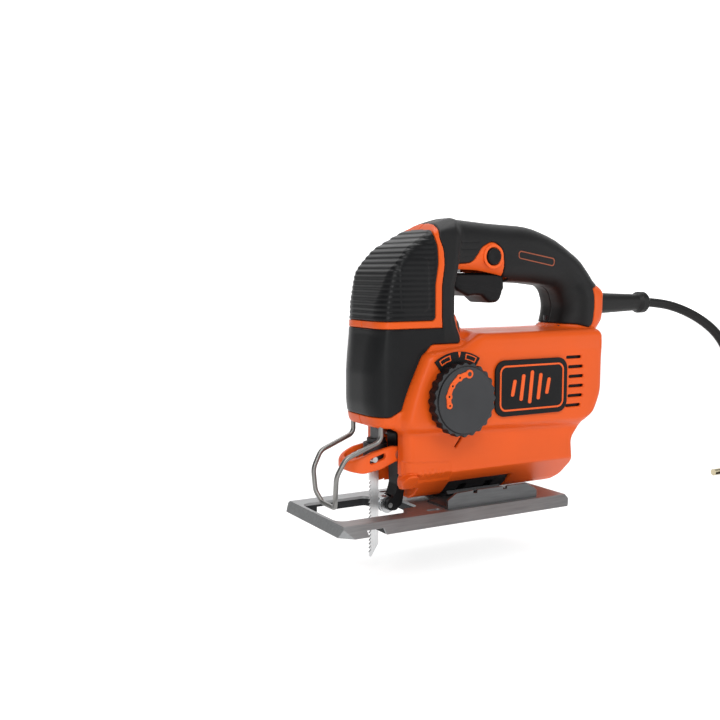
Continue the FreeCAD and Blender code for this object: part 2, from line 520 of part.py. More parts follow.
node("lever_pivot_pins", both(cyl("y", -17.0, -9.0, 1.5, LV_X, LV_Z)))
node("lever_return_springs", both(ring("y", -13.9, -13.1, 3.2, 1.5, LV_X, LV_Z)))

# ---- roller arm ----------------------------------------------------------------------
RO_X, RO_Z, RO_R = -27.7, 5.9, 5.2
arm_prof = [(-24.0, 50.5, 3), (-18.0, 50.5, 3), (-17.2, 20.0, 8), (-19.6, 6.0, 4), (-24.0, 2.4, 3), (-29.6, 3.0, 2.6), (-29.8, 8.6, 2.6),
            (-24.6, 11.4, 3), (-22.6, 18.0, 6)]
ra = side(arm_prof, -5.2, 5.2)
ra = ra.cut(cyl("y", -2.7, 2.7, RO_R + 0.7, RO_X, RO_Z)).cut(box(-34, -25.2, -2.7, 2.7, 0, 14))
ra = cut(ra, cyl("y", -10, 10, 1.5, RO_X, RO_Z), cyl("y", -10, 10, 1.5 + RUN, -21.0, 47.0))
node("roller_arm", biggest(ra))
node("roller_arm_pivot", cyl("y", -17.0, 17.0, 1.5, -21.0, 47.0))
node("roller_pin", cyl("y", -5.2, 5.2, 1.5, RO_X, RO_Z))
rol = ring("y", -2.3, 2.3, RO_R, 1.5 + RUN, RO_X, RO_Z).cut(ring("y", -0.9, 0.9, RO_R + 1, RO_R - 0.6, RO_X, RO_Z))
node("guide_roller", rol)

# ---- finger guard: one bent wire ------------------------------------------------------
def tube_path(pts, dia, radii=None, name="", closed_ends=True, quiet=False):
    """straight runs joined by tangent arcs; the solid is swept round that wire"""
    P = [V(*p) for p in pts]
    n = len(P)
    edges, rmin = [], 1e9
    prev = P[0]
    length = 0.0
    for i in range(1, n - 1):
        a, b, c = P[i - 1], P[i], P[i + 1]
        u = (a - b)
        w = (c - b)
        la, lb = u.Length, w.Length
        u.normalize()
        w.normalize()
        ang = math.acos(max(-1, min(1, u.dot(w))))
        turn = math.pi - ang
        if radii and radii[i] is not None:
            r = radii[i]
            t = r * math.tan(turn / 2)
        else:
            t = 0.45 * min(la, lb)
            r = t / math.tan(turn / 2)
        rmin = min(rmin, r)
        s = b + u * t
        e = b + w * t
        bis = (u + w)
        bis.normalize()
        d = r / math.cos(turn / 2)
        cen = b + bis * d
        mid = cen + (b - cen).normalize() * r
        if (s - prev).Length > 1e-6:
            edges.append(Part.LineSegment(prev, s).toShape())
            length += (s - prev).Length
        edges.append(Part.Arc(s, mid, e).toShape())
        length += r * turn
        prev = e
        if not quiet:
            print("   %s point %d turn %.1f radius %.1f run %.1f" % (name, i, math.degrees(turn), r, la))
    edges.append(Part.LineSegment(prev, P[-1]).toShape())
    length += (P[-1] - prev).Length
    wire = Part.Wire(edges)
    t0 = (P[1] - P[0]).normalize()
    prof = Part.Wire([Part.makeCircle(dia / 2.0, P[0], t0)])
    sh = wire.makePipeShell([prof], True, True, 2)
    want = math.pi * dia * dia / 4 * length
    print("%s: length %.1f  smallest radius %.1f  volume %.1f of %.1f" % (name, length, rmin, sh.Volume, want))
    return sh, length


guard_pts = [(-41, -16.4, 60), (-41.0, -16.4, 47.5), (-63.5, -15.4, 39.0), (-69.0, -14.4, 29.0), (-68.6, -12.4, 16.0), (-66.4, -7.6, 9.6),
             (-66.4, 7.6, 9.6), (-68.6, 12.4, 16.0), (-69.0, 14.4, 29.0), (-63.5, 15.4, 39.0), (-41.0, 16.4, 47.5), (-41, 16.4, 60)]
guard, gl = tube_path(guard_pts, 2.8, [None, 5.0, 8.0, 12.0, 8.0, 4.0, 4.0, 8.0, 12.0, 8.0, 5.0, None], "guard wire", quiet=True)
node("finger_guard", guard)

# ---- shoe -----------------------------------------------------------------------------
def shoe_block(inset):
    z0, z1 = 0.0, SHOE_H - inset
    a = SHOE_W - inset * 0.9
    k = (SHOE_W - SHOE_TOP_W) / SHOE_H
    b = a - k * z1
    def sec(x, fa, z_low=0.0):
        return Part.makePolygon([V(x, -a + fa, z0), V(x, -b + fa, z1), V(x, b - fa, z1), V(x, a - fa, z0), V(x, -a + fa, z0)])
    body = front([(-a, z0, 0), (-b, z1, 0), (b, z1, 0), (a, z0, 0)], SHOE_X0 + inset, SHOE_X1 - inset)
    # plan corners are chamfered, front and rear ends slope a little
    c = plan([(SHOE_X0 + inset, a - 7, 1), (SHOE_X0 + inset, -a + 7, 1), (SHOE_X0 + 7, -a, 1), (SHOE_X1 - 5, -a, 1), (SHOE_X1 - inset, -a + 5, 1),
              (SHOE_X1 - inset, a - 5, 1), (SHOE_X1 - 5, a, 1), (SHOE_X0 + 7, a, 1)], -1, 10)
    s = side([(SHOE_X0 + inset, z0, 0), (SHOE_X0 + inset + 3.0 * z1 / SHOE_H, z1, 0), (SHOE_X1 - inset - 2.0 * z1 / SHOE_H, z1, 0), (SHOE_X1 - inset, z0, 0)], -60, 60)
    return body.common(c).common(s)


shoe_full = shoe_block(0.0)
shoe_in = shoe_block(SHEET)
window = plan([(WIN_X0, WIN_W, 6), (WIN_X0, -WIN_W, 6), (-29.5, -WIN_W, 3), (-25.5, -15.5, 3), (WIN_X1, -15.5, 4), (WIN_X1, 15.5, 4), (-25.5, 15.5, 3), (-29.5, WIN_W, 3)], -5, 20)
fence = box(-62.0, -51.0, -60, 60, -1, 3.0)
rear_feet = fuse(box(-14, -6, -60, 60, -1, 0.0))
screw_x = (20.0, 40.0)
shoe = shoe_full.cut(shoe_in.cut(box(-200, 200, -100, 100, -5, -0.001))).cut(window).cut(fence)
for x in screw_x:
    shoe = shoe.cut(cyl("z", 3, 10, 2.6, x, 0))
# stiffening beads on the flat top are shallow embossings
beads = [plan([(-16, y - 2.2, 2), (-16, y + 2.2, 2), (-6.5, y + 2.2, 2), (-6.5, y - 2.2, 2)], SHOE_H - 0.8, SHOE_H + 1) for y in (-27, 27)]
for b in beads:
    shoe = shoe.cut(b)
node("shoe_plate", biggest(shoe))
sole = shoe_in.cut(window).cut(fence)
for x in screw_x:
    sole = sole.cut(cyl("z", -1, 3.4, 5.4, x, 0)).cut(cyl("z", -1, 10, 2.6, x, 0))
sole = sole.cut(fuse(box(54, 76, -26, 26, 1.8, 10), box(-18, 12, -30, -8, 1.8, 10), box(-18, 12, 8, 30, 1.8, 10)))
node("shoe_sole", biggest(sole))

base = plan([(-4, 30.8, 2), (-4, -30.8, 2), (62, -30.8, 2), (62, 30.8, 2)], SHOE_H, SHOE_H + 1.5)
base = cut(base, plan([(-12, 9, 2), (-12, -9, 2), (4, -9, 2), (4, 9, 2)], 5, 9), plan([(55, 12, 2), (55, -12, 2), (70, -12, 2), (70, 12, 2)], 5, 9))
walls = both(side([(-4, 6.0, 0), (-4, 11.5, 1), (2, 15.0, 1), (14, 15.4, 0), (14, 13.6, 0), (17, 13.6, 0), (17, 15.4, 0), (36, 15.4, 0), (36, 13.6, 0),
                   (39, 13.6, 0), (39, 15.4, 0), (54, 15.4, 1), (62, 10.5, 1), (62, 6.0, 0)], -30.8, -29.3))
cradle = ring("x", 10.0, 50.0, 16.2, 13.95, 0, TILT_Z).common(front([(0, TILT_Z, 0), (-40 * math.tan(math.radians(38)), TILT_Z - 40, 0), (40 * math.tan(math.radians(38)), TILT_Z - 40, 0)], 0, 60))
cradle = cradle.common(box(0, 60, -30, 30, SHOE_H, 30))
bracket = fuse(base, *walls, cradle).cut(fuse(*[cyl("z", 0, 12, 2.6, x, 0) for x in screw_x]))
bracket = bracket.cut(cyl("x", -10, 70, 13.95, 0, TILT_Z))
node("bevel_bracket", biggest(bracket))

bolts = []
for x in screw_x:
    bolts.append(fuse(cyl("z", 0.6, 3.4, 5.2, x, 0).cut(Part.makeBox(4.4, 4.4, 1.6, V(x - 2.2, -2.2, 0.0))), cyl("z", 3.4, 14.5, 2.5, x, 0)))
node("bevel_screws", bolts)
clampp = sector(14.0, 46.0, 11.1, 8.6, 270 - 22, 270 + 22, TILT_Z)
for x in screw_x:
    clampp = clampp.cut(cyl("z", 0, 16, 2.5, x, 0))
node("bevel_clamp_plate", clampp)

# curved saddle on the housing that the shoe bracket swings round, with two arc slots
sad = sector(7.0, 53.0, 13.6, 11.5, 180 + 2, 360 - 2, TILT_Z)
for x in screw_x:
    sad = sad.cut(sector(x - 2.9, x + 2.9, 15, 10, 270 - 60, 270 + 60, TILT_Z))
lips = both(box(7.0, 53.0, -18.6, -11.5, 22.6, 24.6))
sad = fuse(sad, *[l for l in lips], *both(box(7.0, 53.0, -13.55, -11.5, 21.3, 23.0)))
node("bevel_saddle", biggest(sad))

# ---- dust duct --------------------------------------------------------------------------
DU_Z = 34.0
duct = ring("x", -14.0, 101.0, 10.5, 8.0, 0, DU_Z)
duct = duct.cut(cyl("x", 86.0, 102, 9.2, 0, DU_Z))
node("dust_duct", duct)

# ---- cord side ---------------------------------------------------------------------------
CZ = 123.0
relief = fuse(cyl("x", 121.5, 132.0, 8.0, 0, CZ), cyl("x", 123.1, 126.9, 9.8, 0, CZ),
              cone("x", 132.0, 173.0, 7.2, 5.6, 0, CZ), cone("x", 172.0, 174.5, 5.6, 7.3, 0, CZ), cyl("x", 174.5, 179.0, 7.3, 0, CZ),
              cone("x", 179.0, 182.0, 7.3, 5.0, 0, CZ))
relief = relief.cut(cyl("x", 110, 177, CORD_R, 0, CZ))
node("cord_clamp", box(113.0, 119.0, -11.0, 11.0, CZ - 6.5, CZ + 6.0).cut(cyl("x", 110, 125, CORD_R, 0, CZ)))
node("speed_controller", fuse(box(94.5, 113.0, -11, 11, 98.4, 110.0), cyl("z", 110.0, 115.5, 3.6, 99.0, 4.0), box(103.0, 110.0, -8, 2, 110.0, 114.0)))

route = [(182.0, 0.0, 123.0), (197.0, -0.6, 122.0), (211.5, -3.6, 118.4), (225.0, -9.5, 111.6), (236.0, -17.2, 100.6), (242.0, -23.1, 85.2),
         (244.8, -28.5, 67.2), (245.9, -33.6, 47.6), (246.7, -38.7, 27.8), (248.1, -44.5, 8.6), (251.2, -51.0, -8.0), (256.0, -61.5, -20.8),
         (263.6, -72.2, -27.6), (273.6, -81.6, -30.2)]
tube, tube_len = tube_path(route, CORD_D, None, "cord tube")
node("cord_tube", tube)
node("cord_strain_relief", biggest(relief.cut(tube)))
coil_ro, coil_ri = COIL_MID + CORD_D, COIL_MID - CORD_D
coil_h = 4 * CORD_D * 0.94
COIL_TOP = FLOOR_Z + coil_h
coil_s = Part.makeCylinder(coil_ro, coil_h, V(COIL_C[0], COIL_C[1], FLOOR_Z)).cut(Part.makeCylinder(coil_ri, coil_h + 2, V(COIL_C[0], COIL_C[1], FLOOR_Z - 1)))
print("coil: turns %d, mean radius %.1f, length %.0f" % (COIL_TURNS, COIL_MID, COIL_TURNS * 2 * math.pi * COIL_MID))
print("cord in all: %.0f" % (tube_len + COIL_TURNS * 2 * math.pi * COIL_MID))
node("cord_coil", coil_s.cut(tube))

# flat two-pin mains plug, lying on the coil
PL_Y = COIL_C[1] + COIL_MID
PL_X = COIL_C[0] + 18.0          # where the cord goes in
PL_Z = COIL_TOP + 7.0
plug = plan([(PL_X, PL_Y - 5.6, 2), (PL_X, PL_Y + 5.6, 2), (PL_X - 12, PL_Y + 7.2, 8), (PL_X - 24, PL_Y + 17.6, 8), (PL_X - 40, PL_Y + 17.6, 3),
             (PL_X - 40, PL_Y - 17.6, 3), (PL_X - 24, PL_Y - 17.6, 8), (PL_X - 12, PL_Y - 7.2, 8)], COIL_TOP, COIL_TOP + 14.0)
plug = plug.common(side([(PL_X + 1, PL_Z - 5.4, 1), (PL_X - 16, PL_Z - 7.0, 10), (PL_X - 40, PL_Z - 7.0, 1), (PL_X - 40, PL_Z + 7.0, 1),
                         (PL_X - 16, PL_Z + 7.0, 10), (PL_X + 1, PL_Z + 5.4, 1)], -200, 200))
# each pin has a thinner root moulded into the body
pins = [fuse(cyl("x", PL_X - 40 - PIN_L, PL_X - 40, PIN_R, PL_Y + k * PIN_SPACING / 2, PL_Z),
             cyl("x", PL_X - 41, PL_X - 40 + 8, PIN_R - 0.6, PL_Y + k * PIN_SPACING / 2, PL_Z)) for k in (-1, 1)]
node("plug_body", biggest(cut(plug, *pins)))
node("plug_pins", pins)

# ---- write ---------------------------------------------------------------------------------
tot = 0
for name, solids in NODES.items():
    sh = solids[0] if len(solids) == 1 else Part.makeCompound(solids)
    bad = [s for s in solids if not s.isValid()]
    b = sh.BoundBox
    print("%-24s solids %d vol %9.1f x %.1f..%.1f y %.1f..%.1f z %.1f..%.1f %s" % (name, len(solids), sum(s.Volume for s in solids), b.XMin, b.XMax, b.YMin, b.YMax, b.ZMin, b.ZMax, "INVALID" if bad else ""))
    sh.exportStep(os.path.join("parts", name + ".step"))
    tot += 1
print("nodes", tot)
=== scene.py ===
import bpy
import math
import numpy as np
import openvdb
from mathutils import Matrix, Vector
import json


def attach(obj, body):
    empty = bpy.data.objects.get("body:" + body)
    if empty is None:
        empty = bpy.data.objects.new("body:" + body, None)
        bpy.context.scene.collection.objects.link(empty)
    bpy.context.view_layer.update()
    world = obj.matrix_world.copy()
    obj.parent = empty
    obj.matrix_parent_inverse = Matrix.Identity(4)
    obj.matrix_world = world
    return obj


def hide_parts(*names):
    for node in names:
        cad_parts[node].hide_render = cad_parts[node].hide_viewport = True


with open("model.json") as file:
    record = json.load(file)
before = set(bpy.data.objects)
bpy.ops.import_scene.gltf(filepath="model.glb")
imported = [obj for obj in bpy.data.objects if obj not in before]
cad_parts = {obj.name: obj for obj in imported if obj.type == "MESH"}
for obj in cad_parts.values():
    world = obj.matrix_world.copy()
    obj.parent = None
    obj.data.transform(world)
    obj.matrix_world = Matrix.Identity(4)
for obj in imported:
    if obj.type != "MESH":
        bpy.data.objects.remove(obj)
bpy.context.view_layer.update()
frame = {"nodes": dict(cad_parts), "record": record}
N = frame["nodes"]
MM = 0.001
VOX = 0.5


# ------------------------------------------------------------------ profiles
def rounded(pts, step=7.0):
    """corner list (a, b, r) as a dense closed outline"""
    out = []
    n = len(pts)
    for i in range(n):
        p0, p1, p2 = pts[i - 1], pts[i], pts[(i + 1) % n]
        r = p1[2] if len(p1) > 2 else 0.0
        a = np.array([p0[0] - p1[0], p0[1] - p1[1]], float)
        b = np.array([p2[0] - p1[0], p2[1] - p1[1]], float)
        la, lb = np.hypot(*a), np.hypot(*b)
        a /= la
        b /= lb
        ang = math.acos(max(-1.0, min(1.0, float(a @ b))))
        if r <= 0 or ang > math.pi - 0.02:
            out.append((p1[0], p1[1]))
            continue
        t = min(r / math.tan(ang / 2), 0.47 * la, 0.47 * lb)
        r = t * math.tan(ang / 2)
        bis = a + b
        bis /= np.hypot(*bis)
        cen = np.array(p1[:2], float) + bis * (r / math.sin(ang / 2))
        s = np.array(p1[:2], float) + a * t - cen
        e = np.array(p1[:2], float) + b * t - cen
        a0, a1 = math.atan2(s[1], s[0]), math.atan2(e[1], e[0])
        d = (a1 - a0 + math.pi) % (2 * math.pi) - math.pi
        k = max(2, int(abs(math.degrees(d)) / step) + 1)
        for j in range(k + 1):
            w = a0 + d * j / k
            out.append((cen[0] + r * math.cos(w), cen[1] + r * math.sin(w)))
    return np.array(out)


def sd2(pts, A, B):
    """signed distance to the rounded outline on the grid A x B, negative inside"""
    P = rounded(pts)
    X, Y = np.meshgrid(A, B, indexing="ij")
    best = np.full(X.shape, 1e9)
    inside = np.zeros(X.shape, bool)
    n = len(P)
    for i in range(n):
        x0, y0 = P[i - 1]
        x1, y1 = P[i]
        dx, dy = x1 - x0, y1 - y0
        L = dx * dx + dy * dy
        if L < 1e-12:
            continue
        t = np.clip(((X - x0) * dx + (Y - y0) * dy) / L, 0, 1)
        d = (X - x0 - t * dx) ** 2 + (Y - y0 - t * dy) ** 2
        np.minimum(best, d, out=best)
        if dy != 0:
            c = ((y0 > Y) != (y1 > Y)) & (X < (x1 - x0) * (Y - y0) / dy + x0)
            inside ^= c
    d = np.sqrt(best)
    return np.where(inside, -d, d).astype(np.float32)


def isec(a, b, r=0.0):
    if r <= 0:
        return np.maximum(a, b)
    u = np.maximum(a + r, 0.0)
    v = np.maximum(b + r, 0.0)
    return np.minimum(np.maximum(a, b), -r) + np.sqrt(u * u + v * v)


def uni(a, b, r=0.0):
    if r <= 0:
        return np.minimum(a, b)
    u = np.maximum(r - a, 0.0)
    v = np.maximum(r - b, 0.0)
    return np.maximum(np.minimum(a, b), r) - np.sqrt(u * u + v * v)


def dif(a, b, r=0.0):
    return isec(a, -b, r)


class Grid:
    def __init__(s, x0, x1, y0, y1, z0, z1, h):
        s.h = h
        s.x = np.arange(x0, x1 + h, h, dtype=np.float32)
        s.y = np.arange(y0, y1 + h, h, dtype=np.float32)
        s.z = np.arange(z0, z1 + h, h, dtype=np.float32)
        s.X, s.Y, s.Z = s.x[:, None, None], s.y[None, :, None], s.z[None, None, :]

    def side(s, pts):
        return sd2(pts, s.x, s.z)[:, None, :]

    def plan(s, pts):
        return sd2(pts, s.x, s.y)[:, :, None]

    def front(s, pts):
        return sd2(pts, s.y, s.z)[None, :, :]

    def box(s, x0, x1, y0, y1, z0, z1, r=0.0):
        qx = np.abs(s.X - (x0 + x1) / 2) - (x1 - x0) / 2 + r
        qy = np.abs(s.Y - (y0 + y1) / 2) - (y1 - y0) / 2 + r
        qz = np.abs(s.Z - (z0 + z1) / 2) - (z1 - z0) / 2 + r
        out = np.sqrt(np.maximum(qx, 0) ** 2 + np.maximum(qy, 0) ** 2 + np.maximum(qz, 0) ** 2)
        return out + np.minimum(np.maximum(np.maximum(qx, qy), qz), 0) - r

    def cyl(s, axis, a0, a1, r, p, q, e=0.0):
        if axis == "x":
            d, a = np.sqrt((s.Y - p) ** 2 + (s.Z - q) ** 2) - r, s.X
        elif axis == "y":
            d, a = np.sqrt((s.X - p) ** 2 + (s.Z - q) ** 2) - r, s.Y
        else:
            d, a = np.sqrt((s.X - p) ** 2 + (s.Y - q) ** 2) - r, s.Z
        return isec(d, np.abs(a - (a0 + a1) / 2) - (a1 - a0) / 2, e)

    def mesh(s, name, F, adapt=0.0):
        """surface of the field F as points, triangles and quads, in metres"""
        F = np.broadcast_to(F, (len(s.x), len(s.y), len(s.z)))
        G = np.ascontiguousarray(np.clip(F, -3 * s.h, 3 * s.h), dtype=np.float32)
        # close the surface at the grid's own edge
        G[0], G[-1], G[:, 0], G[:, -1], G[:, :, 0], G[:, :, -1] = (3 * s.h,) * 6
        g = openvdb.FloatGrid(3 * s.h)
        g.copyFromArray(G, tolerance=0.0)
        p, t, q = g.convertToPolygons(isovalue=0.0, adaptivity=adapt)
        p = p * s.h + np.array([s.x[0], s.y[0], s.z[0]])
        return p * MM, t[:, ::-1], q[:, ::-1]


def add_mesh(name, parts, mat, body, replaces=(), smooth=True, angle=None):
    """one object from one or several (points, triangles, quads) sets"""
    V, F, off = [], [], 0
    for p, t, q in parts:
        V.append(p)
        F += (t + off).tolist() + (q + off).tolist()
        off += len(p)
    me = bpy.data.meshes.new(name)
    V = np.concatenate(V)
    me.from_pydata(V.tolist(), [], F)
    me.update()
    ob = bpy.data.objects.new(name, me)
    bpy.context.scene.collection.objects.link(ob)
    if smooth:
        me.polygons.foreach_set("use_smooth", [True] * len(me.polygons))
    me.materials.append(mat)
    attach(ob, body)
    if replaces:
        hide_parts(*replaces)
    return ob


def mirrored(part):
    p, t, q = part
    p = p.copy()
    p[:, 1] *= -1
    return p, t[:, ::-1], q[:, ::-1]


# ----------------------------------------------------------------- materials
def nodes_of(name):
    m = bpy.data.materials.new(name)
    m.use_nodes = True
    nt = m.node_tree
    b = nt.nodes["Principled BSDF"]
    return m, nt, b


def moulded(name, rgb, rough=0.42, spec=0.5, var=0.05, grain=900.0, bump=0.06, rvar=0.08, metal=0.0, wear=None, coat=0.0, stretch=None, sheen=0.0):
    """a surface whose colour, roughness and relief vary with two scales of noise"""
    m, nt, b = nodes_of(name)
    L = nt.links
    tc = nt.nodes.new("ShaderNodeTexCoord")
    mp = nt.nodes.new("ShaderNodeMapping")
    if stretch:
        mp.inputs["Scale"].default_value = stretch
    L.new(tc.outputs["Object"], mp.inputs["Vector"])
    big = nt.nodes.new("ShaderNodeTexNoise")
    big.inputs["Scale"].default_value = 38.0
    big.inputs["Detail"].default_value = 5.0
    L.new(mp.outputs[0], big.inputs["Vector"])
    fine = nt.nodes.new("ShaderNodeTexNoise")
    fine.inputs["Scale"].default_value = grain
    fine.inputs["Detail"].default_value = 3.0
    L.new(mp.outputs[0], fine.inputs["Vector"])
    cr = nt.nodes.new("ShaderNodeValToRGB")
    cr.color_ramp.elements[0].position = 0.3
    cr.color_ramp.elements[1].position = 0.7
    cr.color_ramp.elements[0].color = (rgb[0] * (1 - var), rgb[1] * (1 - var), rgb[2] * (1 - var), 1)
    cr.color_ramp.elements[1].color = (min(1, rgb[0] * (1 + var)), min(1, rgb[1] * (1 + var)), min(1, rgb[2] * (1 + var)), 1)
    L.new(big.outputs["Fac"], cr.inputs[0])
    col = cr.outputs[0]
    if wear:
        ge = nt.nodes.new("ShaderNodeNewGeometry")
        wr = nt.nodes.new("ShaderNodeValToRGB")
        wr.color_ramp.elements[0].position = 0.52
        wr.color_ramp.elements[1].position = 0.60
        wr.color_ramp.elements[0].color = (0, 0, 0, 1)
        wr.color_ramp.elements[1].color = (1, 1, 1, 1)
        L.new(ge.outputs["Pointiness"], wr.inputs[0])
        mx = nt.nodes.new("ShaderNodeMix")
        mx.data_type = "RGBA"
        mx.inputs[7].default_value = (*wear, 1)
        L.new(wr.outputs[0], mx.inputs[0])
        L.new(col, mx.inputs[6])
        col = mx.outputs[2]
    L.new(col, b.inputs["Base Color"])
    rr = nt.nodes.new("ShaderNodeMapRange")
    rr.inputs["To Min"].default_value = max(0.03, rough - rvar)
    rr.inputs["To Max"].default_value = min(1.0, rough + rvar)
    L.new(big.outputs["Fac"], rr.inputs["Value"])
    L.new(rr.outputs[0], b.inputs["Roughness"])
    bp = nt.nodes.new("ShaderNodeBump")
    bp.inputs["Strength"].default_value = bump
    bp.inputs["Distance"].default_value = 0.0004
    L.new(fine.outputs["Fac"], bp.inputs["Height"])
    L.new(bp.outputs[0], b.inputs["Normal"])
    b.inputs["Metallic"].default_value = metal
    b.inputs["Specular IOR Level"].default_value = spec
    if coat:
        b.inputs["Coat Weight"].default_value = coat
        b.inputs["Coat Roughness"].default_value = 0.25
    if sheen:
        b.inputs["Sheen Weight"].default_value = sheen
        b.inputs["Sheen Roughness"].default_value = 0.5
    return m


def brushed(name, rgb, rough=0.34, direction=(1.0, 30.0, 30.0), bump=0.10, var=0.12, scale=60.0):
    """metal with fine lines along one direction"""
    m, nt, b = nodes_of(name)
    L = nt.links
    tc = nt.nodes.new("ShaderNodeTexCoord")
    mp = nt.nodes.new("ShaderNodeMapping")
    mp.inputs["Scale"].default_value = direction
    L.new(tc.outputs["Object"], mp.inputs["Vector"])
    ln = nt.nodes.new("ShaderNodeTexNoise")
    ln.inputs["Scale"].default_value = scale
    ln.inputs["Detail"].default_value = 6.0
    L.new(mp.outputs[0], ln.inputs["Vector"])
    cl = nt.nodes.new("ShaderNodeTexNoise")
    cl.inputs["Scale"].default_value = 25.0
    cl.inputs["Detail"].default_value = 4.0
    L.new(tc.outputs["Object"], cl.inputs["Vector"])
    cr = nt.nodes.new("ShaderNodeValToRGB")
    cr.color_ramp.elements[0].position = 0.3
    cr.color_ramp.elements[1].position = 0.72
    cr.color_ramp.elements[0].color = (*[c * (1 - var) for c in rgb], 1)
    cr.color_ramp.elements[1].color = (*[min(1, c * (1 + var)) for c in rgb], 1)
    L.new(ln.outputs["Fac"], cr.inputs[0])
    L.new(cr.outputs[0], b.inputs["Base Color"])
    rr = nt.nodes.new("ShaderNodeMapRange")
    rr.inputs["To Min"].default_value = rough - 0.08
    rr.inputs["To Max"].default_value = rough + 0.12
    L.new(cl.outputs["Fac"], rr.inputs["Value"])
    L.new(rr.outputs[0], b.inputs["Roughness"])
    bp = nt.nodes.new("ShaderNodeBump")
    bp.inputs["Strength"].default_value = bump
    bp.inputs["Distance"].default_value = 0.0003
    L.new(ln.outputs["Fac"], bp.inputs["Height"])
    L.new(bp.outputs[0], b.inputs["Normal"])
    b.inputs["Metallic"].default_value = 1.0
    return m


ORANGE = moulded("moulded_orange", (0.722, 0.0944, 0.0087), rough=0.38, spec=0.25, var=0.03, grain=2600, bump=0.05)
ORANGE2 = moulded("orange_part", (0.78, 0.105, 0.012), rough=0.36, spec=0.3, var=0.04, grain=2200, bump=0.04)
BLACK = moulded("moulded_black", (0.0085, 0.0085, 0.0092), rough=0.42, spec=0.14, var=0.18, grain=2400, bump=0.10)
RUBBER = moulded("overmould_rubber", (0.0075, 0.0075, 0.008), rough=0.46, spec=0.22, var=0.2, grain=3200, bump=0.22, sheen=0.03)
COVER = moulded("cover_black", (0.0085, 0.0088, 0.0095), rough=0.34, spec=0.16, var=0.15, grain=2600, bump=0.10)
DIAL = moulded("dial_grey", (0.042, 0.043, 0.046), rough=0.52, spec=0.2, var=0.10, grain=2600, bump=0.16)
STEEL = brushed("shoe_steel", (0.36, 0.365, 0.37), rough=0.50, direction=(1.0, 14.0, 14.0), bump=0.05, var=0.10)
DARKSTEEL = brushed("sole_dark", (0.035, 0.036, 0.038), rough=0.5, direction=(1.0, 10.0, 10.0), bump=0.05)
WIRE = brushed("guard_wire", (0.26, 0.255, 0.245), rough=0.34, direction=(20.0, 20.0, 4.0), bump=0.05, var=0.08)
BLADE = brushed("blade_bright", (0.66, 0.665, 0.67), rough=0.30, direction=(30.0, 30.0, 2.0), bump=0.06, var=0.08)
GROUND = brushed("ground_steel", (0.52, 0.53, 0.54), rough=0.26, direction=(4.0, 40.0, 4.0), bump=0.05)
SCREW = brushed("screw_zinc", (0.5, 0.5, 0.5), rough=0.35, direction=(8.0, 8.0, 8.0), bump=0.06)
ALU = brushed("cast_aluminium", (0.52, 0.53, 0.54), rough=0.5, direction=(6.0, 6.0, 6.0), bump=0.2)
MIDSTEEL = brushed("bracket_steel", (0.15, 0.152, 0.155), rough=0.50, direction=(1.0, 12.0, 12.0), bump=0.05)
# dark grey cast metal: the saddle's own dark grey, made darker as painted shade for the shadowed region under the
# housing
SHADED_DARK_CAST = brushed("dark_cast_painted_shade", (0.075, 0.077, 0.08), rough=0.52, direction=(6.0, 6.0, 6.0), bump=0.2)
COPPER = moulded("enamelled_copper", (0.48, 0.16, 0.06), rough=0.35, metal=1.0, var=0.15, grain=1500, bump=0.3, stretch=(1, 8, 8))
LAMINATION = brushed("laminations", (0.22, 0.22, 0.23), rough=0.45, direction=(60.0, 1.0, 1.0), bump=0.3)
BRONZE = moulded("sintered_bronze", (0.42, 0.27, 0.12), rough=0.45, metal=1.0, var=0.12, grain=1800, bump=0.3)
CARBON = moulded("pressed_carbon", (0.02, 0.02, 0.02), rough=0.6, var=0.3, grain=2500, bump=0.4)
FELT = moulded("felt", (0.2, 0.19, 0.17), rough=0.95, var=0.25, grain=1400, bump=0.9, sheen=0.4)
FAN = moulded("fan_black", (0.03, 0.03, 0.032), rough=0.5, var=0.15, grain=2000, bump=0.1)
RESIN = moulded("potting_resin", (0.012, 0.012, 0.016), rough=0.28, var=0.2, grain=600, bump=0.15)
CORD = moulded("cord_rubber", (0.009, 0.009, 0.009), rough=0.46, spec=0.25, var=0.2, grain=2600, bump=0.15)
PLUGM = moulded("plug_black", (0.012, 0.012, 0.013), rough=0.5, var=0.2, grain=2200, bump=0.14)
NICKEL = brushed("nickel_pins", (0.62, 0.55, 0.38), rough=0.28, direction=(1.0, 30.0, 30.0), bump=0.04)

LOOK = {
    "orange_plastic": ORANGE, "black_plastic": BLACK, "grip_rubber": RUBBER, "dial_plastic": DIAL, "button_orange": ORANGE2,
    "screw_steel": SCREW, "spring_steel": GROUND, "lamination_steel": LAMINATION, "copper_wire": COPPER, "ground_steel": GROUND,
    "fan_plastic": FAN, "carbon": CARBON, "cast_aluminium": ALU, "bronze": BRONZE, "gear_steel": GROUND, "felt": FELT,
    "blade_steel": BLADE, "guard_wire": WIRE, "shoe_steel": STEEL, "controller_resin": RESIN, "cord_rubber": CORD,
    "plug_plastic": PLUGM, "plug_metal": NICKEL,
}
for sp in frame["record"]["subparts"]:
    ob = N[sp["node"]]
    m = LOOK[sp["material_slot"]]
    if sp["node"] == "shoe_sole":
        m = DARKSTEEL
    if sp["node"] in ("bevel_bracket", "plunger_bar"):
        m = MIDSTEEL
    # saddle, clamp plate, gear case and blade clamp take the dark cast metal, which is partly painted shade for the
    # shadowed region under the housing
    if sp["node"] in ("bevel_saddle", "bevel_clamp_plate", "gear_case", "blade_clamp"):
        m = SHADED_DARK_CAST
    if not ob.data.materials:
        ob.data.materials.append(m)
    for i in range(len(ob.material_slots)):
        ob.material_slots[i].material = m

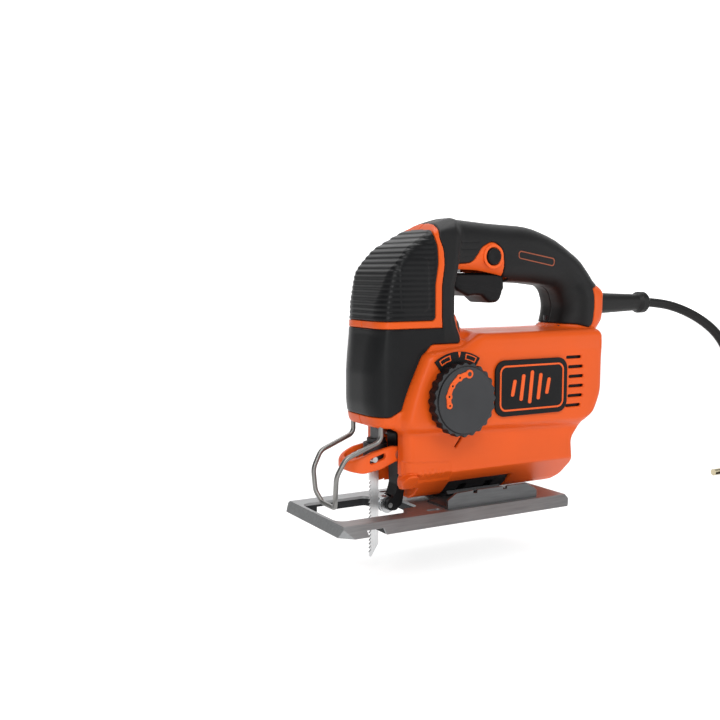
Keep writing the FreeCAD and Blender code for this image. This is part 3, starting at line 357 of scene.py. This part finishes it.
# ------------------------------------------------------- the housing's shapes
P_NOSE = [(-44.0, 54.5, 4), (-49.4, 68, 14), (-49.4, 86, 16), (-44.6, 108, 10), (-43.6, 126, 12), (-38.6, 144, 14), (-26, 158, 20),
          (-6, 169.5, 30), (12, 175.4, 20), (13, 174.5, 0), (9.5, 150, 6), (6, 136, 6), (6, 117, 6), (11, 104, 4), (30, 96, 0), (30, 54.5, 0)]
P_GRIP = [(-4, 60), (-4, 171.0, 4), (14, 175.4, 12), (39, 173.4, 60), (71, 172, 60), (92, 165, 60), (112, 152.6, 36), (121.5, 142, 20),
          (127.8, 131.5, 4), (127.4, 112, 3), (119, 104), (119, 90), (60, 90), (60, 60)]
GAP = [(10.2, 126, 6), (10.8, 142.7, 1), (27, 142.0, 6), (40, 139.8, 8), (51, 137.2, 4), (72, 136.2, 30), (93, 134.0, 10), (97.4, 122, 12), (94.0, 108.6, 6),
       (27, 108.6, 6), (18.0, 111.6, 5), (15.8, 118.0, 3)]
P_BODY = [(-34, 52.5, 4), (-35, 60, 8), (-17, 98.0, 8), (8, 100.6, 10), (24, 108.6, 12), (108, 108.6, 20), (120.5, 108.6, 6), (118.2, 90, 20),
          (117.8, 68, 18), (110, 54, 10), (99, 47, 4), (30, 50.5, 30)]
P_REAR = [(106, 96), (106, 133, 4), (128.2, 131.8, 3), (127.8, 116, 14), (120, 104, 8), (118.5, 96)]
P_BELLY = [(-28.6, 62), (-28.6, 18.5, 3), (-25, 7.9), (60, 7.9), (93, 7.9, 4), (98, 13.5, 4), (98.6, 26, 6), (97.6, 38, 7), (106, 48.5, 8), (112, 62), (100, 66)]
WN, WB, WBE, WG, WR = 24.5, 31.0, 24.6, 17.5, 17.4
PLAN_NOSE = [(-49.6, WN, 19), (-49.6, -WN, 19), (60, -WN, 0), (60, WN, 0)]
PLAN_BODY = [(-37, WB, 15), (-37, -WB, 15), (122, -WB, 13), (122, WB, 13)]
PLAN_REAR = [(70, WR, 0), (70, -WR, 0), (133, -WR, 9), (133, WR, 9)]
PLAN_BELLY = [(-33, WBE, 6), (-33, -WBE, 6), (103, -WBE, 8), (103, WBE, 8)]
F_NOSE = [(-WN, 30, 0), (-WN, 146, 30), (-19.5, 168, 12), (-8, 178, 0), (8, 178, 0), (19.5, 168, 12), (WN, 146, 30), (WN, 30, 0)]
F_BODY = [(-24.6, 46, 0), (-WB, 52.5, 2), (-WB, 96, 8), (-26, 108.6, 8), (26, 108.6, 8), (WB, 96, 8), (WB, 52.5, 2), (24.6, 46, 0)]
F_BELLY = [(-WBE, 64, 0), (-WBE, 26.66, 0), (-9.97, 12.03, 0), (-7.05, 9.79, 0), (-3.65, 8.38, 0), (0, 7.9, 0), (3.65, 8.38, 0),
           (7.05, 9.79, 0), (9.97, 12.03, 0), (WBE, 26.66, 0), (WBE, 64, 0)]
CAP_R = [(-80, 116.0, 0), (-8.5, 116.0, 2.5), (-8.5, 137, 14), (-6.3, 150, 16), (-6.2, 159, 8), (-8.4, 166.6, 4), (-3.6, 171.4, 0), (4, 178, 0), (4, 200, 0), (-80, 200, 0)]
LOW_R = [(-80, 61.5, 0), (-38, 61.5, 4), (-30.5, 66, 6), (-24, 80, 10), (-15.5, 98.2, 4), (-10.8, 102.3, 4), (1.0, 102.3, 0), (1.0, 111.6, 0), (-80, 111.6, 0)]
GRIP_R = [(12, 200, 0), (5, 178, 0), (-1.4, 172, 0), (-4.6, 165, 6), (-2.0, 157, 10), (-2.0, 149, 14), (-3.9, 136, 12), (-3.8, 119, 4), (-3.4, 111.6, 0),
          (-3.4, 102.3, 0), (9.0, 102.3, 3), (10.2, 107, 3), (6.0, 113.5, 3), (13.0, 119, 2), (13.0, 128, 3), (8.8, 139, 4), (8.8, 148.5, 4), (22, 149.6, 6), (28.5, 159, 8), (37, 163.2, 10), (44.5, 157, 8), (46.8, 141, 4),
          (47.5, 134.0, 0), (60, 120, 0), (74, 120, 0), (74, 112.4, 5), (104, 110.6, 10), (115.4, 107.8, 4), (116.8, 122, 6), (116.4, 133.6, 1.5), (132, 137.0, 0), (132, 200, 0)]
SKIN, WALL = 1.6, 2.4


def shapes(g):
    """outer field of the whole housing and of its body, on the grid g"""
    nose = isec(isec(g.side(P_NOSE), g.plan(PLAN_NOSE), 5.0), g.front(F_NOSE), 4.0)
    sg = dif(g.side(P_GRIP), g.side(GAP), 1.0)
    grip = isec(sg, np.abs(g.Y) - WG, 13.0)
    body = isec(isec(g.side(P_BODY), g.plan(PLAN_BODY), 7.0), g.front(F_BODY), 2.0)
    rear = isec(g.side(P_REAR), g.plan(PLAN_REAR), 6.0)
    belly = isec(isec(g.side(P_BELLY), np.abs(g.Y) - WBE, 6.0), g.front(F_BELLY), 1.0)
    out = uni(nose, grip, 4.0)
    out = uni(out, rear, 8.0)
    out = dif(out, g.side(GAP), 1.5)
    out = uni(out, body, 3.0)
    out = uni(out, belly, 3.0)
    out = dif(out, g.side(GAP), 1.5)
    return out, body


def housing(sign):
    """one half of the clamshell; sign -1 is the side with the dial. The grid runs over |y|."""
    g = Grid(-52, 133, -1.5, 33.5, 5, 178, VOX)
    out, body = shapes(g)
    left = sign < 0
    cap, low, grp = g.side(CAP_R), g.side(LOW_R), g.side(GRIP_R)
    low = np.maximum(low, -(body - 0.4))
    grp = np.maximum(grp, np.maximum(102.2 - g.Z, -(body - 0.4)))
    surf = out
    # recessed panel low on the front cheek, with a slanted rear edge, and raised generic marks in it
    pan = isec(g.side([(-40, 5, 0), (-40, 36.2, 0), (1.5, 33.2, 1.5), (4.2, 24, 2), (9, 5, 0)]), -(g.Y - (WBE - 6)), 0)
    marks = g.side([(-17.5, 24.8, 0.8), (-17.5, 29.4, 0.8), (-16.1, 29.4, 0.8), (-16.1, 24.8, 0.8)])
    for mx_, mw, mh in ((-13.2, 1.0, 4.6), (-9.9, 2.2, 1.2), (-9.9, 2.2, 4.6), (-5.4, 0.9, 4.6), (-2.8, 0.9, 3.0)):
        marks = np.minimum(marks, g.side([(mx_ - mw / 2, 24.8, 0.5), (mx_ - mw / 2, 24.8 + mh, 0.5), (mx_ + mw / 2, 24.8 + mh, 0.5), (mx_ + mw / 2, 24.8, 0.5)]))
    amt = 0.75 * np.clip(-pan / 0.9, 0, 1) - 0.45 * np.clip(-marks / 0.35 + 0.2, 0, 1)
    surf = surf + np.maximum(amt, 0)
    # boss bump over the lower screw
    bump = isec(np.sqrt((g.X + 23.9) ** 2 + (g.Z - 22.2) ** 2) - 5.4, np.maximum(g.Y - WBE, 14 - g.Y), 0.9)
    bump = isec(bump, (g.Y + 1.1 - g.Z) * 0.7071, 0.3)
    surf = uni(surf, bump, 0.5)
    surf = np.maximum(surf, (g.Y + 0.9 - g.Z) * 0.7071)
    rb = np.sqrt((g.X + 23.9) ** 2 + (g.Z - 22.2) ** 2)
    surf = surf + 0.8 * np.exp(-((rb - 5.6) ** 2) / 0.3) * (g.Y > 11)
    # the parting slit under the dial
    if left:
        surf = dif(surf, isec(g.side([(9.3, 47.2, 0), (10.3, 46.4, 0), (5.7, 40.6, 0), (4.7, 41.4, 0)]), 21.5 - g.Y), 0.25)
    # shallow ring round the dial's seat
    if left:
        rr_ = np.sqrt((g.X - 2.2) ** 2 + (g.Z - 70.9) ** 2)
        surf = dif(surf, np.maximum(rr_ - 21.8, 30.3 - g.Y), 0.2)
    # cavity
    thick = WALL + 0.0 * g.X
    cav = out + WALL + (SKIN + 0.1) * np.clip(1.2 - np.minimum(np.minimum(cap, low), grp), 0, 1)
    cav = np.maximum(cav, -g.box(-40, -11.5, -40, 40, 0, 54.4))
    cav = np.maximum(cav, g.Z * 0 + 11.5 - g.Z)
    cav = np.maximum(cav, -g.box(9.5, 54, -20, 20, 130, 149))
    sh = np.maximum(surf, -cav)
    # covers let in
    for R in (cap, low, grp):
        sh = dif(sh, np.maximum(R - 0.3, -(out + SKIN + 0.1)), 0.0)
    # front bay, saddle room, duct
    bay = uni(g.box(-60, -14.5, -14, 14, -5, 52, 0.5), g.box(-42.5, -14.5, -14, 14, 40, 60))
    sh = dif(sh, bay, 0.8)
    sh = dif(sh, np.maximum(g.cyl("x", 6.5, 53.5, 16.7, 0, 22), g.Z - 22.6), 0.3)
    sh = dif(sh, g.box(6.5, 53.5, -18.7, 18.7, 22.0, 24.6), 0.2)
    sh = dif(sh, g.cyl("x", -16, 101.2, 10.6, 0, 34))
    # vents
    for i in range(6):
        z = 60.9 + i * 6.05
        xo = 91.5 + (1.3 if i in (2, 3) else (0.8 if i in (1, 4) else -0.9))
        sh = dif(sh, g.box(xo - 6.2, xo + 6.2, 20, 40, z - 0.95, z + 0.95, 0.9), 0.35)
    for y in (0, 6, 12):
        sh = dif(sh, g.box(106, 124, y - 1.2, y + 1.2, 76, 98, 1.0), 0.3)
    sh = dif(sh, g.box(11.0, 52.0, -12.3, 12.3, 120, 148.6, 0.8), 0.6)
    sh = dif(sh, g.box(14.0, 53.0, -8.7, 8.7, 120, 152, 0.8), 0.3)
    sh = dif(sh, uni(g.cyl("x", 120, 140, 8.05, 0, 123), g.cyl("x", 123, 127, 10.0, 0, 123)), 0.3)
    sh = dif(sh, g.cyl("z", 50, 64, 1.5, -41, 16.4), 0.2)
    if left:
        sh = dif(sh, g.cyl("y", 5, 30, 5.35, 36.8, 153.2), 0.7)
        sh = dif(sh, g.cyl("y", 18, 40, 6.05, 2.2, 70.9), 0.3)
    else:
        for sx, sz in ((-12.5, 133.0), (68.0, 165.0), (110.0, 141.0), (108.5, 55.5), (24.5, 99.0), (85.0, 99.0), (-7.0, 50.8)):
            sh = dif(sh, g.cyl("y", 11.6, 40, 3.0, sx, sz), 0.5)
    # parting line
    sh = isec(sh, 0.06 - g.Y, 0.35)
    part = g.mesh("h", sh)
    return mirrored(part) if left else part


for nm, sg_, nd in (("housing_shell_left", -1, "left_housing"), ("housing_shell_right", 1, "right_housing")):
    add_mesh(nm, [housing(sg_)], ORANGE, "housing", (nd,))


# dark overmoulded grip, in two halves
def grip(sign):
    left = sign < 0
    g = Grid(-12, 133, -1.5, 32, 100, 178, VOX * 0.9)
    out, body = shapes(g)
    R = g.side(GRIP_R)
    R = np.maximum(R, np.maximum(102.2 - g.Z, -(body - 0.5)))
    # fine raised bars ahead of the trigger and a framed bar on the handle's flank
    prof = out - 0.15
    bars = g.side([(56.0, 151.4, 2.4), (55.7, 157.8, 2.4), (84.6, 153.2, 2.4), (84.2, 146.4, 2.4)])
    prof = prof + 0.45 * np.clip(0.5 - np.abs(bars) / 0.7, 0, 1) * (g.Y > 10)
    for k in range(3):
        ln = g.side([(11, 153.0 + k * 4.0, 0.4), (11, 153.9 + k * 4.0, 0.4), (25.5, 154.2 + k * 4.0, 0.4), (25.5, 153.3 + k * 4.0, 0.4)])
        prof = prof + 0.4 * np.clip(0.5 - ln / 0.6, 0, 1) * (g.Y > 12)
    f = isec(prof, R, 0.9)
    f = np.maximum(f, -(out + SKIN))
    f = dif(f, g.box(11.6, 52.2, -12.5, 12.5, 120, 149, 0.5), 0.5)
    if not left:
        for sx, sz in ((68.0, 165.0), (110.0, 141.0)):
            f = dif(f, g.cyl("y", 8, 40, 3.0, sx, sz), 0.6)
    f = isec(f, 0.05 - g.Y, 0.4)
    part = g.mesh("g", f)
    return mirrored(part) if left else part


for nm, sg_, nd in (("grip_cover_left", -1, "left_handle_grip"), ("grip_cover_right", 1, "right_handle_grip")):
    add_mesh(nm, [grip(sg_)], RUBBER, "housing", (nd,))


# ribbed upper nose cap
def cap_piece():
    g = Grid(-53, 1, -27, 27, 113, 176, VOX * 0.75)
    out, body = shapes(g)
    R = g.side(CAP_R)
    pitch = 2.95
    ph = np.mod(g.Z - 116.0, pitch) / pitch
    wave = np.clip(np.abs(ph - 0.5) * 4.0 - 0.55, 0, 1)          # 0 on the rib, 1 in the groove
    pad = isec(g.side([(-32, 121, 4), (-33, 148, 6), (-29.5, 152, 3), (-13.5, 152, 3), (-12.8, 121, 4)]), 12 - np.abs(g.Y), 0)
    edge = np.clip((-R - 1.6) / 1.0, 0, 1)
    prof = out + 0.10 + edge * (0.42 * wave) - 0.55 * np.clip(-pad / 1.0 + 0.3, 0, 1) * edge
    f = isec(prof, R, 0.9)
    f = np.maximum(f, -(out + SKIN))
    f = dif(f, g.cyl("y", 8, 40, 3.0, -12.5, 133.0), 0.5)
    return g.mesh("c", f)


add_mesh("nose_cap_cover", [cap_piece()], COVER, "housing", ("nose_cap",))


def low_piece():
    g = Grid(-53, 2, -27, 27, 58, 114, VOX * 0.9)
    out, body = shapes(g)
    R = np.maximum(g.side(LOW_R), -(body - 0.5))
    f = isec(out - 0.1, R, 0.9)
    f = np.maximum(f, -(out + SKIN))
    return g.mesh("l", f)


add_mesh("nose_lower_panel", [low_piece()], COVER, "housing", ("nose_lower_cover",))

# ------------------------------------------------------------------- the dial
def dial_piece():
    g = Grid(-21.5, 26, -41.2, -22, 47, 95, 0.4)
    dx, dz = g.X - 2.2, g.Z - 70.9
    r = np.sqrt(dx * dx + dz * dz)
    a = np.arctan2(dz, dx)
    lobes = 21.15 + 0.6 * np.cos(a * 24)
    rim = isec(r - lobes, np.abs(g.Y + 35.1) - 3.6, 1.0)
    top = isec(r - 19.6, np.abs(g.Y + 36.0) - 4.3, 1.5)
    f = uni(rim, top, 0.5)
    # the face is very slightly dished
    f = np.maximum(f, -(g.Y + 40.2 - 0.0011 * (18.0 ** 2 - r * r)) * 1.0)
    stem = isec(r - 5.95, np.abs(g.Y + 28.0) - 5.4, 0.2)
    flange = isec(r - 7.6, np.abs(g.Y + 25.6) - 2.0, 0.2)
    f = np.minimum(f, np.minimum(stem, flange))
    return g.mesh("d", f)


dial = add_mesh("dial_knob", [dial_piece()], DIAL, "selector_dial", ("selector_dial",))
dial.data.materials.append(BLACK)
dial.data.polygons.foreach_set("material_index", [1 if abs(p_.normal.y) < 0.62 else 0 for p_ in dial.data.polygons])


def prism(name, outlines, y0, y1, mat, body, bevel=0.15, holes=()):
    """flat piece with a filleted outline in XZ (mm) between y0 (outer) and y1, from a filled curve"""
    cu = bpy.data.curves.new(name + "_c", "CURVE")
    cu.dimensions = "2D"
    cu.fill_mode = "BOTH"
    cu.extrude = abs(y1 - y0) / 2 * MM - bevel * MM
    cu.bevel_depth = bevel * MM
    cu.bevel_resolution = 2
    cu.offset = -bevel * MM
    for pts in list(outlines) + list(holes):
        P = rounded(pts, 10.0) if len(pts[0]) > 2 else np.array(pts)
        s = cu.splines.new("POLY")
        s.points.add(len(P) - 1)
        for i, (a, b) in enumerate(P):
            s.points[i].co = (a * MM, b * MM, 0, 1)
        s.use_cyclic_u = True
    tmp = bpy.data.objects.new(name + "_t", cu)
    bpy.context.scene.collection.objects.link(tmp)
    bpy.context.view_layer.update()
    dg = bpy.context.evaluated_depsgraph_get()
    me = bpy.data.meshes.new_from_object(tmp.evaluated_get(dg))
    bpy.data.objects.remove(tmp)
    me.name = name
    for v in me.vertices:
        x, y, z = v.co
        v.co = (x, (y0 + y1) / 2 * MM - z, y)
    me.update()
    ob = bpy.data.objects.new(name, me)
    bpy.context.scene.collection.objects.link(ob)
    me.materials.clear()
    me.materials.append(mat)
    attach(ob, body)
    return ob


def arc_band(cx, cz, r0, r1, a0, a1, k=36, ends=0.0):
    P = []
    for i in range(k + 1):
        a = math.radians(a0 + (a1 - a0) * i / k)
        P.append((cx + r1 * math.cos(a), cz + r1 * math.sin(a)))
    if ends:
        rm, h = (r0 + r1) / 2, (r1 - r0) / 2
        a = math.radians(a1)
        c = (cx + rm * math.cos(a), cz + rm * math.sin(a))
        for i in range(1, 8):
            w = a + math.pi * i / 8
            P.append((c[0] + h * math.cos(w), c[1] + h * math.sin(w)))
    for i in range(k + 1):
        a = math.radians(a1 + (a0 - a1) * i / k)
        P.append((cx + r0 * math.cos(a), cz + r0 * math.sin(a)))
    if ends:
        a = math.radians(a0)
        c = (cx + rm * math.cos(a), cz + rm * math.sin(a))
        for i in range(1, 8):
            w = a + math.pi + math.pi * i / 8
            P.append((c[0] + h * math.cos(w), c[1] + h * math.sin(w)))
    return P


def circle(cx, cz, r, k=28, flip=False):
    P = [(cx + r * math.cos(2 * math.pi * i / k), cz + r * math.sin(2 * math.pi * i / k)) for i in range(k)]
    return P[::-1] if flip else P


# orange inlay on the dial, a curved band with round stops along it
def inlay(half, a0=86.0, a1=190.0, k=40):
    P = []
    for s_ in (1, -1):
        for i in range(k + 1):
            t = i / k if s_ > 0 else 1 - i / k
            a = math.radians(a0 + (a1 - a0) * t)
            r = 15.2 - 2.6 * t + s_ * half
            P.append((2.2 + r * math.cos(a), 70.9 + r * math.sin(a)))
    return P


prism("dial_inlay", [inlay(1.5)], -40.6, -39.6, ORANGE2, "selector_dial", 0.12)
for i, (t_, r_) in enumerate(((0.0, 2.5), (0.26, 2.1), (0.52, 1.8), (0.78, 2.1), (1.0, 1.9))):
    a = math.radians(86 + 104 * t_)
    rr = 15.2 - 2.6 * t_
    prism("dial_stop_%d" % i, [circle(2.2 + rr * math.cos(a), 70.9 + rr * math.sin(a), r_)], -40.72, -39.6, ORANGE2, "selector_dial", 0.12)
    prism("dial_stop_mark_%d" % i, [circle(2.2 + rr * math.cos(a), 70.9 + rr * math.sin(a), 1.3 if i == 0 else 0.6)], -40.86, -40.0, BLACK if i else DIAL, "selector_dial", 0.06)

# dark scale window over the dial, with plain framed marks
prism("dial_window", [arc_band(2.2, 70.9, 20.2, 27.4, 57, 127, ends=0)], -31.75, -30.4, BLACK, "housing", 0.3)
for i, (a0, a1) in enumerate(((104, 122), (62, 80))):
    prism("dial_window_mark_%d" % i, [arc_band(2.2, 70.9, 23.0, 26.4, a0, a1, 10)], -31.95, -31.4, ORANGE2, "housing", 0.08,
          holes=[arc_band(2.2, 70.9, 23.6, 25.8, a0 + 1.5, a1 - 1.5, 10)[::-1]])
prism("dial_pointer", [[(1.2, 98.2, 0.2), (2.2, 94.4, 0.2), (3.2, 98.2, 0.2)]], -32.0, -31.4, ORANGE2, "housing", 0.08)

# --------------------------------------------- side plates with a plain motif
for s_, nm in ((-1, "left"), (1, "right")):
    y0, y1 = (-32.0, -30.6) if s_ < 0 else (32.0, 30.6)
    yo = (-32.22, -31.8) if s_ < 0 else (32.22, 31.8)
    lo_, hi_ = min(y0, y1), max(y0, y1)
    plate = prism("side_plate_" + nm, [[(28.5, 57.8, 7), (28.5, 91.6, 7), (84.0, 91.6, 7), (84.0, 57.8, 7)]], lo_, hi_, BLACK, "housing", 0.35)
    if s_ < 0:
        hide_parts("side_plates")
    lo2, hi2 = min(yo), max(yo)
    prism("plate_frame_" + nm, [[(31.6, 60.9, 4.6), (31.6, 88.5, 4.6), (80.9, 88.5, 4.6), (80.9, 60.9, 4.6)]], lo2, hi2, ORANGE2, "housing", 0.06,
          holes=[[(32.7, 62.0, 3.6), (79.8, 62.0, 3.6), (79.8, 87.4, 3.6), (32.7, 87.4, 3.6)]])
    for k in range(5):
        x = 41.0 + k * 6.6
        h = (5.0, 8.0, 10.0, 8.0, 5.0)[k]
        prism("plate_bar_%s_%d" % (nm, k), [[(x - 1.3, 74.7 - h, 1.2), (x - 1.3 + 2.0, 74.7 + h, 1.2), (x + 1.3 + 2.0, 74.7 + h, 1.2), (x + 1.3, 74.7 - h, 1.2)]],
              lo2, hi2, ORANGE2, "housing", 0.06)


# dark baffles behind the air slots
for s_, nm in ((-1, "left"), (1, "right")):
    prism("vent_baffle_" + nm, [[(82.5, 57.5, 1), (82.5, 94.5, 1), (101, 94.5, 1), (101, 57.5, 1)]], -28.4 if s_ < 0 else 27.6, -27.6 if s_ < 0 else 28.4, BLACK, "housing", 0.1)
gb = Grid(113, 116, -16, 16, 73, 101, 0.5)
add_mesh("vent_baffle_rear", [gb.mesh("vb", gb.box(114.0, 115.2, -15, 15, 74, 100, 0.4))], BLACK, "housing")

# thin framed bar on each flank of the handle, and the ring round the lock button
DULL = moulded("frame_brown", (0.30, 0.075, 0.035), rough=0.5, spec=0.3, var=0.1, grain=2000, bump=0.05)
for s_, nm in ((-1, "left"), (1, "right")):
    y_ = (-17.72, -17.1) if s_ < 0 else (17.1, 17.72)
    prism("grip_frame_" + nm, [[(55.8, 152.2, 2.0), (55.8, 157.2, 2.0), (84.6, 152.4, 2.0), (84.2, 147.2, 2.0)]], y_[0], y_[1], DULL, "housing", 0.06,
          holes=[[(56.5, 152.7, 1.4), (56.5, 156.4, 1.4), (83.9, 151.8, 1.4), (83.5, 148.0, 1.4)]])
ring_ = prism("lock_ring", [circle(36.8, 153.2, 7.4, 40)], -18.1, -17.0, ORANGE2, "housing", 0.35, holes=[circle(36.8, 153.2, 5.5, 40, True)])

# ------------------------------------------------- trigger, button and lever
def trigger_piece():
    g = Grid(11, 54, -12.5, 12.5, 123, 149, 0.4)
    T = [(11.9, 136.6, 2), (12.4, 144.2, 1), (49.6, 144.2, 1), (50.4, 134, 4), (46.6, 125.3, 5), (39.6, 125.0, 3), (34.0, 129.4, 3), (29.0, 129.9, 3), (23.6, 129.3, 4), (16.0, 132.6, 4)]
    f = isec(g.side(T), np.abs(g.Y) - 11.7, 2.8)
    f = np.maximum(f, np.minimum(g.Z - 142.3, np.maximum(g.Z - 143.4, np.abs(g.Y) - 8.0)))
    f = np.minimum(f, g.box(44, 51.5, -4, 4, 141, 147.4, 0.5))
    # shallow finger grooves
    f = f + 0.35 * np.exp(-((g.Z - 136.5 + 0.12 * (g.X - 14)) ** 2) / 0.5) * (np.abs(g.Y) > 8)
    return g.mesh("t", f)


add_mesh("trigger_blade", [trigger_piece()], BLACK, "trigger", ("trigger",))


def button_piece():
    g = Grid(29, 45, -20, -3.6, 146, 161, 0.3)
    r = np.sqrt((g.X - 36.8) ** 2 + (g.Z - 153.2) ** 2)
    f = isec(r - 5.0, np.maximum(-19.2 - g.Y, g.Y + 8.0), 1.1)
    f = np.maximum(f, -(r - 3.9) * 0 - 100)
    f = np.minimum(f, isec(r - 6.6, np.abs(g.Y + 12.45) - 0.65, 0.1))
    f = np.minimum(f, g.box(35.0, 38.6, -9, -4.5, 151.6, 154.8, 0.3))
    f = f + 0.25 * np.exp(-(r ** 2) / 6.0) * (g.Y < -17)
    return g.mesh("b", f)


add_mesh("lock_button_cap", [button_piece()], BLACK, "lock_button", ("lock_button",))


def lever_piece():
    g = Grid(-60, -21, -14, 14, 25, 45, 0.4)
    lv = [(-22.6, 35.2, 2), (-22.8, 42.2, 3), (-31.0, 43.0, 3), (-44.0, 40.6, 10), (-52.0, 37.4, 6), (-57.2, 35.0, 3), (-57.8, 29.7, 3),
          (-50.0, 28.2, 8), (-38.0, 30.0, 12), (-29.0, 33.4, 6)]
    so = g.plan([(-58.0, 12.8, 12), (-58.0, -12.8, 12), (-10, -12.8, 0), (-10, 12.8, 0)])
    si = g.plan([(-53.8, 9.8, 8), (-53.8, -9.8, 8), (0, -9.8, 0), (0, 9.8, 0)])
    f = isec(isec(g.side(lv), so, 1.1), -si, 0.7)
    f = dif(f, g.cyl("y", -20, 20, 1.55, -26, 38))
    f = dif(f, g.side([(-46.0, 33.2, 1.7), (-46.0, 36.6, 1.7), (-35.4, 39.6, 1.7), (-35.4, 36.2, 1.7)]), 0.3)
    return g.mesh("v", f)


add_mesh("lever_loop", [lever_piece()], ORANGE2, "blade_lever", ("blade_lever",))

# ------------------------------------------------------------------- the cord
route = [(182.0, 0.0, 123.0), (197.0, -0.6, 122.0), (211.5, -3.6, 118.4), (225.0, -9.5, 111.6), (236.0, -17.2, 100.6), (242.0, -23.1, 85.2),
         (244.8, -28.5, 67.2), (245.9, -33.6, 47.6), (246.7, -38.7, 27.8), (248.1, -44.5, 8.6), (251.2, -51.0, -8.0), (256.0, -61.5, -20.8),
         (263.6, -72.2, -27.6), (273.6, -81.6, -30.2)]
CX, CY, ZF, D = 292.0, -50.0, -34.5 + 3.2, 6.4
pts = list(route)
RO, RI = 38.4, 32.0
col = [RO, RI, RI, RO, RO, RI, RI, RO]
lay = [0, 0, 1, 1, 2, 2, 3, 3]
PER = 18
start = math.radians(235.6)
for t in range(8):
    nxt_r = col[t + 1] if t < 7 else RO
    nxt_l = lay[t + 1] if t < 7 else 3
    last = PER if t < 7 else 7
    for i in range(last):
        u = (i + 1.6 if t == 0 else i + 0.0) / PER
        if t == 0 and u >= 1.0:
            break
        w = max(0.0, min(1.0, (u - 0.80) / 0.19))
        w = w * w * (3 - 2 * w)
        r = col[t] + (nxt_r - col[t]) * w
        z = ZF + (lay[t] + (nxt_l - lay[t]) * w) * 6.016
        a = start + 2 * math.pi * u
        pts.append((CX + r / 0.985 * math.cos(a), CY + r / 0.985 * math.sin(a), z))
pts += [(330.2, -38.0, -11.6), (326.4, -27.0, -8.2), (319.8, -18.8, -4.9), (313.0, -15.2, -3.6), (306.0, -14.8, -3.44)]
cu = bpy.data.curves.new("mains_cord", "CURVE")
cu.dimensions = "3D"
sp = cu.splines.new("NURBS")
sp.points.add(len(pts) - 1)
for i, p in enumerate(pts):
    sp.points[i].co = (p[0] * MM, p[1] * MM, p[2] * MM, 1.0)
sp.order_u = 3
sp.use_endpoint_u = True
sp.resolution_u = 6
cu.bevel_depth = D / 2 * MM
cu.bevel_resolution = 5
cu.use_fill_caps = True
cord = bpy.data.objects.new("mains_cord", cu)
bpy.context.scene.collection.objects.link(cord)
cu.materials.append(CORD)
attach(cord, "housing")
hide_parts("cord_tube", "cord_coil")

# --------------------------------------------------------------- stage, light
fm, fnt, fb = nodes_of("pale_floor")
fb.inputs["Base Color"].default_value = (0.42, 0.42, 0.42, 1)
fb.inputs["Roughness"].default_value = 0.9
fb.inputs["Specular IOR Level"].default_value = 0.1
fb.inputs["Emission Color"].default_value = (1, 1, 1, 1)
fb.inputs["Emission Strength"].default_value = 0.78
me = bpy.data.meshes.new("floor")
R_ = 6.0
me.from_pydata([(-R_, -R_, -0.0346), (R_, -R_, -0.0346), (R_, R_, -0.0346), (-R_, R_, -0.0346)], [], [(0, 1, 2, 3)])
me.materials.append(fm)
floor = bpy.data.objects.new("floor", me)
bpy.context.scene.collection.objects.link(floor)
bm_, bnt, bb = nodes_of("pale_backdrop")
bb.inputs["Base Color"].default_value = (0.9, 0.9, 0.9, 1)
bb.inputs["Roughness"].default_value = 0.9
bb.inputs["Emission Color"].default_value = (1, 1, 1, 1)
bb.inputs["Emission Strength"].default_value = 0.8
me = bpy.data.meshes.new("backdrop")
cx_, cy_, hw, dist = 0.05, 0.0, 3.4, 3.2
fx, fy = math.sin(math.radians(29.459)), math.cos(math.radians(29.459))
vs = [(cx_ + fx * dist + fy * hw * s, cy_ + fy * dist - fx * hw * s, z) for s, z in ((-1, -0.0346), (1, -0.0346), (1, 3.2), (-1, 3.2))]
me.from_pydata(vs, [], [(0, 1, 2, 3)])
me.materials.append(bm_)
backdrop = bpy.data.objects.new("backdrop", me)
bpy.context.scene.collection.objects.link(backdrop)


def area(name, loc, target, size, energy, col=(1, 1, 1)):
    ld = bpy.data.lights.new(name, "AREA")
    ld.shape = "RECTANGLE"
    ld.size, ld.size_y = size
    ld.energy = energy
    ld.color = col
    lo = bpy.data.objects.new(name, ld)
    lo.location = loc
    lo.rotation_mode = "QUATERNION"
    lo.rotation_quaternion = (Vector(target) - Vector(loc)).to_track_quat("-Z", "Y")
    bpy.context.scene.collection.objects.link(lo)
    return lo


area("key", (-0.45, -1.1, 1.15), (0.02, 0, 0.08), (0.9, 0.7), 12.0)
area("top", (0.15, 0.35, 1.3), (0.03, 0, 0.1), (1.2, 0.7), 9.5)
area("side", (1.1, -0.9, 0.5), (0.05, 0, 0.08), (0.6, 0.8), 3.0)
area("front", (-0.62, -1.2, 0.30), (0.02, 0, 0.05), (0.5, 0.4), 3.0)
world = bpy.data.worlds.new("studio")
world.use_nodes = True
world.node_tree.nodes["Background"].inputs["Color"].default_value = (1, 1, 1, 1)
world.node_tree.nodes["Background"].inputs["Strength"].default_value = 0.20
bpy.context.scene.world = world
bpy.context.scene.view_settings.view_transform = "Standard"

cam = bpy.data.cameras.new("cam")
cam.sensor_width = 36.0
cam.lens = 47.5
cam.clip_start = 0.01
cam.clip_end = 50.0
co = bpy.data.objects.new("cam", cam)
yaw, pit = math.radians(29.458933646788413), math.radians(5.361999950158775)
d = Vector((math.sin(yaw) * math.cos(pit), math.cos(yaw) * math.cos(pit), -math.sin(pit)))
co.location = (-0.31571627039, -0.47829047645, 0.1446205074)
co.rotation_mode = "QUATERNION"
co.rotation_quaternion = d.to_track_quat("-Z", "Y")
bpy.context.scene.collection.objects.link(co)
bpy.context.scene.camera = co

import json
